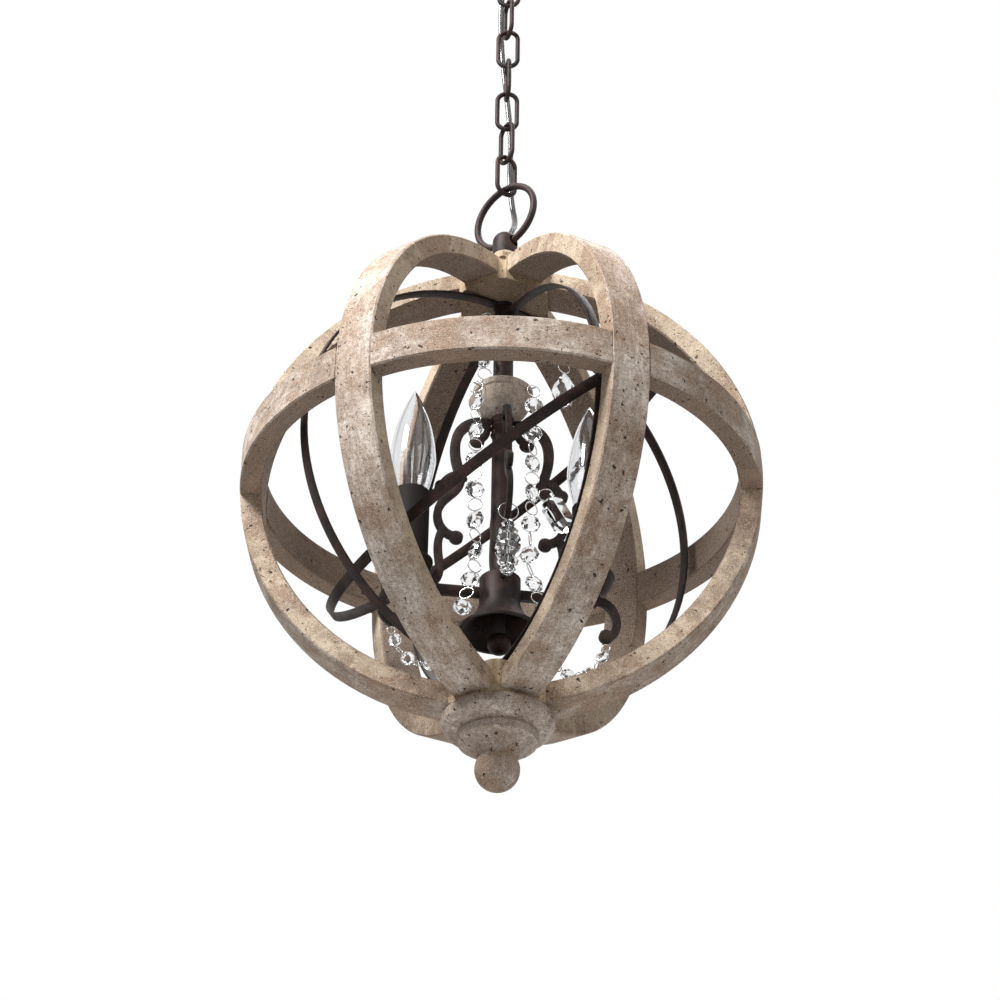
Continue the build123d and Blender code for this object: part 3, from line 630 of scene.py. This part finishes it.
# ---------------------------------------------------------------- mesh helpers
def finish_mesh(
    name: str, bm: bmesh.types.BMesh, material: bpy.types.Material, smooth_angle: float
) -> bpy.types.Object:
    """Turns a bmesh into a finished piece at the origin.

    Args:
        name: the piece's name.
        bm: its mesh, freed here.
        material: its material.
        smooth_angle: degrees up to which edges shade smooth, 0 for flat facets.

    Returns:
        The object.
    """
    bmesh.ops.recalc_face_normals(bm, faces=bm.faces)
    for face in bm.faces:
        face.smooth = smooth_angle > 0
    mesh = bpy.data.meshes.new(name)
    bm.to_mesh(mesh)
    bm.free()
    piece = bpy.data.objects.new(name, mesh)
    bpy.context.scene.collection.objects.link(piece)
    mesh.materials.append(material)
    if smooth_angle:
        split = piece.modifiers.new("crease", "EDGE_SPLIT")
        split.split_angle = math.radians(smooth_angle)
    return piece


def edges_at(verts: list[bmesh.types.BMVert]) -> list[bmesh.types.BMEdge]:
    """Lists the edges at some corners, each once and in the same order in every run."""
    return list(dict.fromkeys(edge for vert in verts for edge in vert.link_edges))


def wire_ring(bm: bmesh.types.BMesh, radius: float, wire: float, place: Matrix, segments: int = 28) -> None:
    """Adds a round wire ring.

    Args:
        bm: the mesh it goes into.
        radius: the ring's radius at the wire's middle.
        wire: the wire's radius.
        place: the ring's transform; it lies flat on its own x and y.
        segments: steps round the ring.
    """
    made = bmesh.ops.create_circle(bm, segments=8, radius=wire)
    stand = Matrix.Translation((radius, 0.0, 0.0)) @ Matrix.Rotation(math.pi / 2, 4, "X")
    bmesh.ops.transform(bm, matrix=place @ stand, verts=made["verts"])
    bmesh.ops.spin(
        bm,
        geom=made["verts"] + edges_at(made["verts"]),
        cent=place.translation,
        axis=place.to_3x3() @ UP,
        angle=math.tau,
        steps=segments,
        use_merge=True,
    )


def rod(
    bm: bmesh.types.BMesh, radii: Pair, length: float, place: Matrix, segments: int = 8
) -> None:
    """Adds a straight rod or cone, capped at both ends.

    Args:
        bm: the mesh it goes into.
        radii: its radius at the low and at the high end.
        length: its length along its own z.
        place: its transform; its middle is its own origin.
        segments: its sides.
    """
    low, high = radii
    made = bmesh.ops.create_cone(
        bm, segments=segments, cap_ends=True, radius1=low, radius2=high, depth=length
    )
    bmesh.ops.transform(bm, matrix=place, verts=made["verts"])


def hull_of_rings(bm: bmesh.types.BMesh, rings: tuple[Triple, ...], sides: int, place: Matrix) -> None:
    """Adds a cut stone: the hull of rings of corners.

    Args:
        bm: the mesh it goes into.
        rings: (radius, height, turn as a share of a side) of each ring.
        sides: corners in a ring.
        place: the stone's transform.
    """
    corners = []
    for radius, height, turn in rings:
        made = bmesh.ops.create_circle(bm, segments=sides, radius=radius)
        spun = Matrix.Rotation(turn * math.tau / sides, 4, "Z")
        move = place @ Matrix.Translation((0.0, 0.0, height)) @ spun
        bmesh.ops.transform(bm, matrix=move, verts=made["verts"])
        corners += made["verts"]
    hull = bmesh.ops.convex_hull(bm, input=corners)
    inside = hull["geom_interior"] + hull["geom_unused"]
    spare = [item for item in inside if isinstance(item, bmesh.types.BMVert)]
    bmesh.ops.delete(bm, geom=spare, context="VERTS")


# ---------------------------------------------------------------- camera, light and room
@dataclass
class Studio:
    """The camera of the photograph, a soft light and a pale room."""

    distance: float = 2.0747
    rise: float = 33.41
    roll: float = -0.87
    lens: float = 94.68
    shift: Pair = (-0.00144, -0.013)
    sensor: float = 36.0
    farthest: float = 50.0
    floor_depth: float = -2.8
    floor_size: float = 7.0
    floor_glow: float = 0.7
    floor_tones: Pair = (0.86, 0.82)
    white: float = 1.0
    sky: float = 0.10
    lamps: tuple[tuple[str, Triple, float, float], ...] = (
        ("key_light", (-1.55, -1.5, 2.1), 1.0, 178.0),
        ("fill_light", (2.0, -1.9, 1.3), 1.8, 24.0),
        ("top_light", (0.6, 0.9, 2.5), 1.4, 34.0),
    )

    def camera(self) -> None:
        """Sets the camera up from its distance, rise and roll."""
        rise, roll = math.radians(self.rise), math.radians(self.roll)
        ahead = Vector((0.0, math.cos(rise), math.sin(rise)))
        up = Vector((0.0, -math.sin(rise), math.cos(rise)))
        right = RIGHT * math.cos(roll) - up * math.sin(roll)
        top = RIGHT * math.sin(roll) + up * math.cos(roll)
        data = bpy.data.cameras.new("photo_camera")
        data.sensor_width = self.sensor
        data.lens = self.lens
        data.shift_x, data.shift_y = self.shift
        data.clip_end = self.farthest
        camera = bpy.data.objects.new("photo_camera", data)
        bpy.context.scene.collection.objects.link(camera)
        turn = Matrix((right, top, -ahead)).transposed().to_4x4()
        camera.matrix_world = Matrix.Translation(ORB - ahead * self.distance) @ turn
        bpy.context.scene.camera = camera

    def lamp(self, name: str, place: Triple, size: float, power: float) -> None:
        """Adds a soft square lamp that faces the cage.

        Args:
            name: its name.
            place: its place from the cage's middle, in metres.
            size: its side.
            power: watts.
        """
        data = bpy.data.lights.new(name, "AREA")
        data.size = size
        data.energy = power
        lamp = bpy.data.objects.new(name, data)
        bpy.context.scene.collection.objects.link(lamp)
        lamp.location = ORB + Vector(place)
        lamp.rotation_euler = (-Vector(place)).to_track_quat("-Z", "Y").to_euler()

    def world(self) -> None:
        """Makes a room that looks white and lights softly."""
        world = bpy.data.worlds.new("room")
        bpy.context.scene.world = world
        world.use_nodes = True
        tree = world.node_tree
        tree.nodes.clear()
        out = tree.nodes.new("ShaderNodeOutputWorld")
        seen, light = (tree.nodes.new("ShaderNodeBackground") for _ in range(2))
        seen.inputs["Color"].default_value = (1.0, 1.0, 1.0, 1.0)
        seen.inputs["Strength"].default_value = self.white
        light.inputs["Color"].default_value = (1.0, 0.985, 0.97, 1.0)
        light.inputs["Strength"].default_value = self.sky
        path = tree.nodes.new("ShaderNodeLightPath")
        first, second = (tree.nodes.new("ShaderNodeMath") for _ in range(2))
        first.operation = second.operation = "MAXIMUM"
        tree.links.new(path.outputs["Is Camera Ray"], first.inputs[0])
        tree.links.new(path.outputs["Is Glossy Ray"], first.inputs[1])
        tree.links.new(first.outputs[0], second.inputs[0])
        tree.links.new(path.outputs["Is Transmission Ray"], second.inputs[1])
        mix = tree.nodes.new("ShaderNodeMixShader")
        tree.links.new(second.outputs[0], mix.inputs[0])
        tree.links.new(light.outputs[0], mix.inputs[1])
        tree.links.new(seen.outputs[0], mix.inputs[2])
        tree.links.new(mix.outputs[0], out.inputs["Surface"])

    def floor(self) -> None:
        """Lays a pale floor under the lamp."""
        shader = Shader("room_floor")
        cloud = shader.noise(shader.place(), 0.6, 2.0)
        light, dark = ((tone, tone, tone) for tone in self.floor_tones)
        shader.surface(shader.mix(cloud, light, dark), {"Roughness": 0.8})
        path = shader.node("ShaderNodeLightPath")
        seen = shader.math("MAXIMUM", path.outputs["Is Camera Ray"], path.outputs["Is Glossy Ray"])
        seen = shader.math("MAXIMUM", seen, path.outputs["Is Transmission Ray"])
        shader.skin.inputs["Emission Color"].default_value = (1.0, 1.0, 1.0, 1.0)
        glow = shader.math("MULTIPLY", seen, self.floor_glow)
        shader.feed(shader.skin.inputs["Emission Strength"], glow)
        bm = bmesh.new()
        made = bmesh.ops.create_grid(bm, x_segments=1, y_segments=1, size=self.floor_size)
        bmesh.ops.translate(bm, verts=made["verts"], vec=(0.0, 0.0, self.floor_depth))
        floor = finish_mesh("room_floor", bm, shader.material, 0.0)

    def build(self) -> None:
        """Sets up the camera, the lamps and the room."""
        self.camera()
        self.world()
        self.floor()
        for lamp in self.lamps:
            self.lamp(*lamp)
        bpy.context.scene.view_settings.view_transform = "Standard"
        log.info("studio: camera, three lamps, room")


# ---------------------------------------------------------------- cord
@dataclass
class Cord:
    """The cord behind the chain: a flat twin lead, in one stretch for each joint that it passes."""

    diameter: float = 0.005
    route: tuple[Triple, ...] = (
        (0.0, 0.0, -0.018),
        (0.0, 0.0, -0.036),
        (-0.002, 0.0145, -0.0475),
        (-0.005, 0.017, -0.080),
        (-0.007, 0.0165, -0.118),
        (-0.006, 0.017, -0.156),
        (-0.003, 0.0165, -0.194),
        (0.001, 0.017, -0.232),
        (0.004, 0.0165, -0.270),
        (0.003, 0.017, -0.306),
        (0.005, 0.0165, -0.340),
        (0.009, 0.015, -0.364),
        (0.003965, 0.004896, -0.382),
        (0.003965, 0.004896, -0.3962),
    )
    bodies: tuple[str, ...] = ("ceiling", *(f"link_{n}" for n in range(1, 9)), "ring", "lamp")
    joints: tuple[float, ...] = (
        -0.053, -0.0884, -0.1248, -0.1612, -0.1976, -0.234, -0.2704, -0.3068, -0.3432, -0.3785,
    )
    last_cut: float = -0.361
    reach: float = 0.008
    same_place: float = 1e-6
    waist: float = 0.62

    def centreline(self) -> list[Vector]:
        """Reads the points of the route's smooth curve."""
        data = bpy.data.curves.new("cord_route", "CURVE")
        data.dimensions = "3D"
        data.resolution_u = 32
        spline = data.splines.new("NURBS")
        spline.points.add(len(self.route) - 1)
        for point, place in zip(spline.points, self.route):
            point.co = (*place, 1.0)
        spline.order_u = 3
        spline.use_endpoint_u = True
        curve = bpy.data.objects.new("cord_route", data)
        bpy.context.scene.collection.objects.link(curve)
        bpy.context.view_layer.update()
        evaluated = curve.evaluated_get(bpy.context.evaluated_depsgraph_get())
        mesh = bpy.data.meshes.new_from_object(evaluated)
        points = [vert.co.copy() for vert in mesh.vertices]
        bpy.data.meshes.remove(mesh)
        bpy.data.objects.remove(curve)
        if points[0].z < points[-1].z:
            points.reverse()
        return points

    def cut(self, points: list[Vector], top: float, bottom: float) -> list[Vector]:
        """Takes the stretch between two heights.

        Args:
            points: the whole line, from the top down.
            top: its upper height.
            bottom: its lower height.

        Returns:
            The stretch, with a point exactly at each end.
        """
        kept: list[Vector] = []
        for here, there in zip(points, points[1:]):
            for level in (top, bottom):
                if here.z > level >= there.z:
                    kept.append(here.lerp(there, (here.z - level) / (here.z - there.z)))
            if top > there.z > bottom:
                kept.append(there.copy())
        return kept

    def tube(self, name: str, path: list[Vector], skin: bpy.types.Material) -> bpy.types.Object:
        """Makes a twin lead along a line.

        Args:
            name: the piece's name.
            path: its line.
            skin: its material.

        Returns:
            The piece.
        """
        bm = bmesh.new()
        across = bm.verts.layers.float.new("across")
        loop = bmesh.ops.create_circle(bm, segments=20, radius=self.diameter / 2, cap_ends=False)["verts"]
        for vert in loop:
            lobe = abs(vert.co.x) / (self.diameter / 2)
            bulge = (1.0 - self.waist) * lobe * math.sqrt(max(0.0, 1.0 - (2 * lobe - 1) ** 2))
            vert.co.y *= self.waist + bulge
            vert[across] = vert.co.x / (self.diameter / 2)
        bmesh.ops.contextual_create(bm, geom=edges_at(loop))
        frame = Matrix.Identity(4)
        for number, here in enumerate(path):
            ahead = path[min(number + 1, len(path) - 1)] - path[max(number - 1, 0)]
            wanted = turned(-ahead, Vector((1.0, 0.25, 0.0)), here)
            if number:
                edges = [edge for edge in edges_at(loop) if all(vert in loop for vert in edge.verts)]
                made = bmesh.ops.extrude_edge_only(bm, edges=edges)
                loop = [item for item in made["geom"] if isinstance(item, bmesh.types.BMVert)]
            bmesh.ops.transform(bm, matrix=wanted @ frame.inverted(), verts=loop)
            frame = wanted
        bmesh.ops.contextual_create(bm, geom=[edge for edge in bm.edges if edge.is_boundary])
        return finish_mesh(name, bm, skin, 50.0)

    def build(self, skin: bpy.types.Material) -> None:
        """Makes the stretches, one for each joint.

        Args:
            skin: the cord's material.
        """
        line = self.centreline()
        cuts = [line[0].z]
        cuts += [(upper + lower) / 2 for upper, lower in zip(self.joints, self.joints[1:-1])]
        cuts += [self.last_cut, line[-1].z]
        for number, level in enumerate(self.joints):
            path = self.cut(line, cuts[number], cuts[number + 1])
            if number == 0:
                path.insert(0, line[0])
            if number == len(self.joints) - 1:
                path.append(line[-1])
            steps = zip(path, path[1:])
            path = path[:1] + [here for last, here in steps if (here - last).length > self.same_place]
            piece = self.tube(f"cord_{number + 1}", path, skin)
            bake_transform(piece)
            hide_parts("cord")
        log.info("cord: %d stretches", len(self.joints))


# ---------------------------------------------------------------- frame pieces
@dataclass
class FrameGroup:
    """Frame pieces of one finish, whose shape is already right."""

    finish: bpy.types.Material
    names: tuple[str, ...]
    edge: Edge = Edge.SMOOTH
    ease: float = 0.0005
    crease: float = 32.0
    ease_angle: float = 40.0
    weld: float = 0.00001

    def build(self, nodes: dict[str, bpy.types.Object]) -> None:
        """Dresses the pieces.

        Args:
            nodes: the frame's nodes.
        """
        for name in self.names:
            piece = nodes[name]
            piece.data.materials.clear()
            piece.data.materials.append(self.finish)
            weld = piece.modifiers.new("joined", "WELD")
            weld.merge_threshold = self.weld
            piece.data.polygons.foreach_set("use_smooth", [True] * len(piece.data.polygons))
            if self.edge is Edge.EASED:
                ease = piece.modifiers.new("eased", "BEVEL")
                ease.width = self.ease
                ease.segments = 2
                ease.limit_method = "ANGLE"
                ease.angle_limit = math.radians(self.ease_angle)
                ease.harden_normals = True
            else:
                split = piece.modifiers.new("crease", "EDGE_SPLIT")
                split.split_angle = math.radians(self.crease)
        log.info("%s: %d pieces", self.finish.name, len(self.names))


# ---------------------------------------------------------------- crystal
@dataclass
class Crystal:
    """Cut beads, wire rings and pendants.

    Sizes are in metres. Strings, swags, walls, peg_past, peg_rise and tiers count in millimetres, and
    cone_place and almond_place are each an azimuth, a radius and a height in the lamp.
    """

    glass: bpy.types.Material
    silver: bpy.types.Material
    bead: float = 0.0078
    bead_thick: float = 0.0036
    # Shares of a bead's radius and of half its thickness.
    girdle: float = 0.12
    crown: Pair = (0.83, 0.60)
    table: float = 0.46
    swag_bead: float = 0.0056
    ring: float = 0.0056
    wire: float = 0.00045
    gap: float = 0.0003
    tier_step: float = 0.0068
    swag_ring: float = 0.003
    frame_wire: float = 0.0006
    strings: tuple[tuple[float, tuple[Pair, ...]], ...] = (
        (-50.0, ((28, 84), (27, -20), (25, -80), (37, -126))),
        (62.0, ((28, 84), (27, -20), (25, -80), (37, -126))),
        (-62.0, ((17, 160), (17, 100))),
    )
    front_turn: float = 0.35
    swags: Pair = (-82.4, 97.6)
    swag_route: tuple[Pair, ...] = (
        (82.5, -138.3), (77, -154), (66, -165), (54, -166), (43, -157), (34, -140),
    )
    bead_sway: Pair = (0.7, 2.4)
    stem_wall: float = 9.65
    bowl_wall: float = 24.35
    peg_radius: float = 0.0008
    peg_past: float = 1.6
    peg_rise: float = 3.05
    prism_place: Triple = (0.0348, -0.0135, -0.016)
    prism_lean: Triple = (0.45, -0.05, -0.89)
    prism_drop: float = 0.0048
    prism_rings: tuple[Triple, ...] = (
        (0.003, 0.0, 0.0), (0.0095, 0.005, 0.5), (0.0095, 0.026, 0.5), (0.0045, 0.032, 0.0),
    )
    cone_place: Triple = (7.6, 42.5, -49.9)
    cone_ring: float = 0.0076
    cone_tiers: tuple[Pair, ...] = (
        (3.2, 5.4), (6.2, 8.0), (8.6, 10.0), (10.2, 10.4), (10.0, 9.2), (8.6, 7.2), (6.4, 5.0),
    )
    cone_pin: float = 0.0005
    tier_face: float = 0.00072
    almond_place: Triple = (121.8, 59.0, 164.3)
    almond_ring: float = 0.0064
    almond_rings: tuple[Triple, ...] = (
        (0.0012, 0.0, 0.0), (0.0058, 0.007, 0.5), (0.0092, 0.014, 0.0),
        (0.0105, 0.019, 0.5), (0.008, 0.028, 0.0), (0.0018, 0.034, 0.0),
    )

    def cut_bead(self, bm: bmesh.types.BMesh, radius: float, place: Matrix) -> None:
        """Adds an eight-sided bead with a table, a crown and a girdle on each face.

        Args:
            bm: the mesh it goes into.
            radius: its radius at the girdle's corners.
            place: its transform; the table faces its z.
        """
        half = self.bead_thick * radius / self.bead
        wide, deep = self.crown
        rings = [(radius, side * self.girdle * half, 0.0) for side in (-1, 1)]
        for side in (-1, 1):
            rings.append((wide * radius, side * deep * half, 0.5))
            rings.append((self.table * radius, side * half, 0.0))
        hull_of_rings(bm, tuple(rings), 8, place)

    def walk(self, corners: list[Vector], step: float) -> list[Vector]:
        """Gives points a step apart along straight runs.

        Args:
            corners: the runs' ends.
            step: metres between the points.

        Returns:
            The points.
        """
        points, left = [corners[0].copy()], step
        for start, end in zip(corners, corners[1:]):
            run, done = (end - start).length, 0.0
            while run - done >= left:
                done += left
                points.append(start.lerp(end, done / run))
                left = step
            left -= run - done
        return points

    def string(
        self,
        bm: bmesh.types.BMesh,
        wires: bmesh.types.BMesh,
        points: list[Vector],
        facing: Vector,
        radius: float,
    ) -> None:
        """Adds a string: rings with a bead after each.

        Args:
            bm: the beads' mesh.
            wires: the rings' mesh.
            points: the places, from the top.
            facing: where the beads' tables face.
            radius: the beads' radius.
        """
        for number, here in enumerate(points):
            ahead = points[number + 1] - here if number + 1 < len(points) else here - points[number - 1]
            sway, rate = self.bead_sway
            swayed = facing + facing.cross(UP) * sway * math.sin(rate * number)
            out = swayed - ahead * swayed.dot(ahead) / ahead.length_squared
            if number % 2:
                self.cut_bead(bm, radius, turned(out, ahead, here))
            else:
                face = out.cross(ahead) * 0.5 + out * ahead.length if number else out
                ring = self.ring if radius == self.bead else self.swag_ring
                wire_ring(wires, ring, self.wire, turned(face, ahead, here), 22)

    def hangings(self) -> None:
        """Makes the strings, the swags and the prism on the lamp."""
        beads, wires = bmesh.new(), bmesh.new()
        step = self.bead + self.ring + self.frame_wire / 2 + self.gap
        swag_step = self.swag_bead + self.swag_ring + self.frame_wire / 2 + self.gap
        for azimuth, route in self.strings:
            points = self.walk([at(azimuth, radius, height) for radius, height in route], step)
            self.string(beads, wires, points, bearing(azimuth * self.front_turn), self.bead)
            radius, height = route[0]
            foot = self.bowl_wall if radius > self.bowl_wall else self.stem_wall
            tip = radius + self.peg_past
            middle = turned(bearing(azimuth), UP, at(azimuth, (tip + foot) / 2, height + self.peg_rise))
            rod(wires, (self.peg_radius, self.peg_radius), (tip - foot) * MM, middle, 12)
        for azimuth in self.swags:
            corners = [at(azimuth, radius, height) for radius, height in self.swag_route]
            points = self.walk(corners, swag_step)
            self.string(beads, wires, points, bearing(0.0), self.swag_bead)
        ring_place, down = ORB + Vector(self.prism_place), Vector(self.prism_lean).normalized()
        wire_ring(wires, self.ring, self.wire, turned(BACK, down, ring_place), 22)
        crown = turned(down, BACK, ring_place + down * self.prism_drop)
        hull_of_rings(beads, self.prism_rings, 6, crown)
        piece = finish_mesh("cut_crystals", beads, self.glass, 0.0)
        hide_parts("crystal_strings")
        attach(piece, "lamp")
        piece = finish_mesh("crystal_wires", wires, self.silver, 60.0)
        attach(piece, "lamp")
        log.info("crystal: strings and swags")

    def front_pendant(self) -> None:
        """Makes the cone that hangs on the front brace: stacked cut rings that swell and taper."""
        facing, hang = bearing(self.cone_place[0]), at(*self.cone_place)
        stone, wires = bmesh.new(), bmesh.new()
        wire_ring(wires, self.cone_ring, self.wire, turned(facing, RIGHT, hang), 32)
        place = turned(-UP, facing, hang - UP * (self.cone_ring + self.frame_wire))
        for number, (above, below) in enumerate(self.cone_tiers):
            high, turn = number * self.tier_step, 0.5 * (number % 2)
            low = high + self.tier_step - self.gap
            rings = (
                (above * self.tier_face, high, turn),
                (max(above, below) * MM, (high + low) / 2, turn),
                (below * self.tier_face, low, turn),
            )
            hull_of_rings(stone, rings, 8, place)
        tall = len(self.cone_tiers) * self.tier_step
        middle = place @ Matrix.Translation((0.0, 0.0, tall / 2))
        rod(wires, (self.cone_pin, self.cone_pin), tall + MM, middle)
        piece = finish_mesh("cone_crystal", stone, self.glass, 0.0)
        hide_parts("pendant_front")
        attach(piece, "front_pendant")
        piece = finish_mesh("cone_wire", wires, self.silver, 60.0)
        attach(piece, "front_pendant")

    def hoop_pendant(self) -> None:
        """Makes the almond that hangs from the outer hoop."""
        facing, down, hang = bearing(self.almond_place[0]), -UP, at(*self.almond_place)
        stone, wires = bmesh.new(), bmesh.new()
        wire_ring(wires, self.almond_ring, self.wire, turned(facing, down, hang), 28)
        bead = hang + down * (self.almond_ring + self.frame_wire + self.swag_bead)
        self.cut_bead(stone, self.swag_bead, turned(facing, down, bead))
        small = bead + down * (self.swag_bead + self.frame_wire + self.ring)
        wire_ring(wires, self.ring, self.wire, turned(facing.cross(down), down, small), 24)
        crown = turned(down, facing, small + down * (self.ring + self.frame_wire))
        hull_of_rings(stone, self.almond_rings, 8, crown)
        piece = finish_mesh("almond_crystal", stone, self.glass, 0.0)
        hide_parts("pendant_hoop")
        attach(piece, "hoop_pendant")
        piece = finish_mesh("almond_wire", wires, self.silver, 60.0)
        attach(piece, "hoop_pendant")

    def build(self) -> None:
        """Makes every crystal."""
        self.hangings()
        self.front_pendant()
        self.hoop_pendant()
        log.info("crystal: two pendants")


@dataclass
class Filaments:
    """The stem and fine wires inside each bulb; radius, feet and tops are in millimetres."""

    glass: bpy.types.Material
    silver: bpy.types.Material
    azimuths: dict[str, float] = field(default_factory=lambda: {"left": -82.4, "right": 97.6})
    radius: float = 71.0
    foot: float = -29.0
    stem_top: float = -4.0
    wire_top: float = 26.0
    wire_foot: float = 6.0
    stem_radii: Pair = (0.0042, 0.0016)
    leads: Pair = (0.001, 0.0055)
    lead_radius: float = 0.0003
    coil_radius: float = 0.0004
    coil: float = 0.011

    def build(self) -> None:
        """Makes a glass stem and a filament for each bulb."""
        for side, azimuth in self.azimuths.items():
            stem, across = bmesh.new(), bearing(azimuth + 90)
            middle = at(azimuth, self.radius, (self.foot + self.stem_top) / 2)
            tall = (self.stem_top - self.foot) * MM
            rod(stem, self.stem_radii, tall, Matrix.Translation(middle), 24)
            piece = finish_mesh(f"bulb_stem_{side}", stem, self.glass, 40.0)
            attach(piece, f"bulb_{side}")
            wires = bmesh.new()
            top = at(azimuth, self.radius, self.wire_top)
            for lean in (-1, 1):
                low = at(azimuth, self.radius, self.stem_top - self.wire_foot) + across * self.leads[0] * lean
                high = top + across * self.leads[1] * lean
                place = turned(high - low, RIGHT, (high + low) / 2)
                rod(wires, (self.lead_radius, self.lead_radius), (high - low).length, place)
            rod(wires, (self.coil_radius, self.coil_radius), self.coil, turned(across, UP, top))
            piece = finish_mesh(f"bulb_filament_{side}", wires, self.silver, 60.0)
            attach(piece, f"bulb_{side}")
        log.info("bulbs: stems and filaments")


def main() -> None:
    """Builds the studio, the cord, the dressed frame, the crystal and the bulbs' insides."""
    logging.basicConfig(level=logging.INFO, format="%(message)s")
    for old in list(bpy.data.objects):
        bpy.data.objects.remove(old)
    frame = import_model()
    nodes = frame["nodes"]
    Studio().build()
    Cord().build(CordSkin("cord_sheath").build())

    iron = RustIron("rust_iron").build()
    chain_iron = RustIron("chain_iron", brown=(0.036, 0.018, 0.017), roughness=0.5, texture=0.0003).build()
    hub_wood = WashedWood(
        "hub_wood",
        Grain.UPRIGHT,
        wash=(0.60, 0.465, 0.30),
        pale=(0.70, 0.57, 0.40),
        cut=(0.58, 0.45, 0.29),
        grime=0.25,
    ).build()
    bowl_wood = WashedWood(
        "bowl_wood",
        Grain.UPRIGHT,
        wash=(0.60, 0.50, 0.41),
        cut=(0.60, 0.50, 0.41),
        inside_shade=0.1,
        grime=0.35,
    ).build()
    turned_wood = WashedWood(
        "turned_wood",
        Grain.UPRIGHT,
        wash=(0.50, 0.41, 0.345),
        cut=(0.46, 0.375, 0.315),
        inside_shade=0.2,
        wear=0.6,
    ).build()
    steel = PlainMetal("zinc_steel", (0.55, 0.55, 0.55)).build()
    silver = PlainMetal("silver_wire", (0.70, 0.69, 0.67), 0.22).build()
    brass = PlainMetal("cap_brass", (0.75, 0.58, 0.30)).build()
    sleeve = SleeveSkin("sleeve_skin").build()
    bulb_glass = ClearGlass("bulb_glass").build()
    crystal = ClearGlass("cut_crystal", tint=(0.90, 0.905, 0.915), ior=1.5, ripple=0.0).build()
    ribs = tuple(f"rib_{number}" for number in range(1, 7))
    belts = tuple(f"belt_arc_{number}" for number in range(1, 7))
    links = tuple(f"chain_link_{number}" for number in range(1, 9))
    plates = ("scroll_arm_left", "scroll_arm_right", "scroll_braces")
    rounds = (
        "screw_loop", "canopy", "collar_ring", "top_cap", "hoop_pins", "hoop_spacers",
        "upper_column", "lower_column", "bell", "bell_nut", "candle_cups",
    )
    fittings = (
        "crossbar", "nipple", "nipple_locknut", "finial_stud", "stud_nut", "bell_locknut", "centre_rod",
    )
    rib_wood = WashedWood("rib_wood", Grain.ALONG_RIB).build()
    # The belts are a darker, browner copy of the rib wood: partly their own browner tone, partly painted shade.
    # Their cut faces, the band's top and underside, are a dark brown that is painted shade of the underside.
    belt_wood = WashedWood(
        "belt_wood",
        Grain.ROUND_BELT,
        wash=(0.48, 0.385, 0.31),
        pale=(0.76, 0.67, 0.59),
        cut=(0.25, 0.18, 0.132),
    ).build()
    groups = (
        FrameGroup(rib_wood, ribs),
        FrameGroup(belt_wood, belts),
        FrameGroup(hub_wood, ("top_hub", "bottom_hub")),
        FrameGroup(bowl_wood, ("wood_collar", "wood_bowl")),
        FrameGroup(turned_wood, ("finial",)),
        FrameGroup(chain_iron, (*links, "hanging_ring"), crease=50.0),
        FrameGroup(iron, plates, Edge.EASED, 0.0006),
        FrameGroup(iron, ("outer_hoop", "inner_hoop", "tilted_hoop"), Edge.EASED, 0.0003),
        FrameGroup(iron, rounds, crease=35.0),
        FrameGroup(steel, fittings),
        FrameGroup(sleeve, ("candle_sleeves", "lampholders")),
        FrameGroup(brass, ("bulb_cap_left", "bulb_cap_right")),
        FrameGroup(bulb_glass, ("bulb_glass_left", "bulb_glass_right"), crease=50.0),
    )
    for group in groups:
        group.build(nodes)
    Crystal(crystal, silver).build()
    Filaments(bulb_glass, silver).build()


if __name__ == "__main__":
    main()
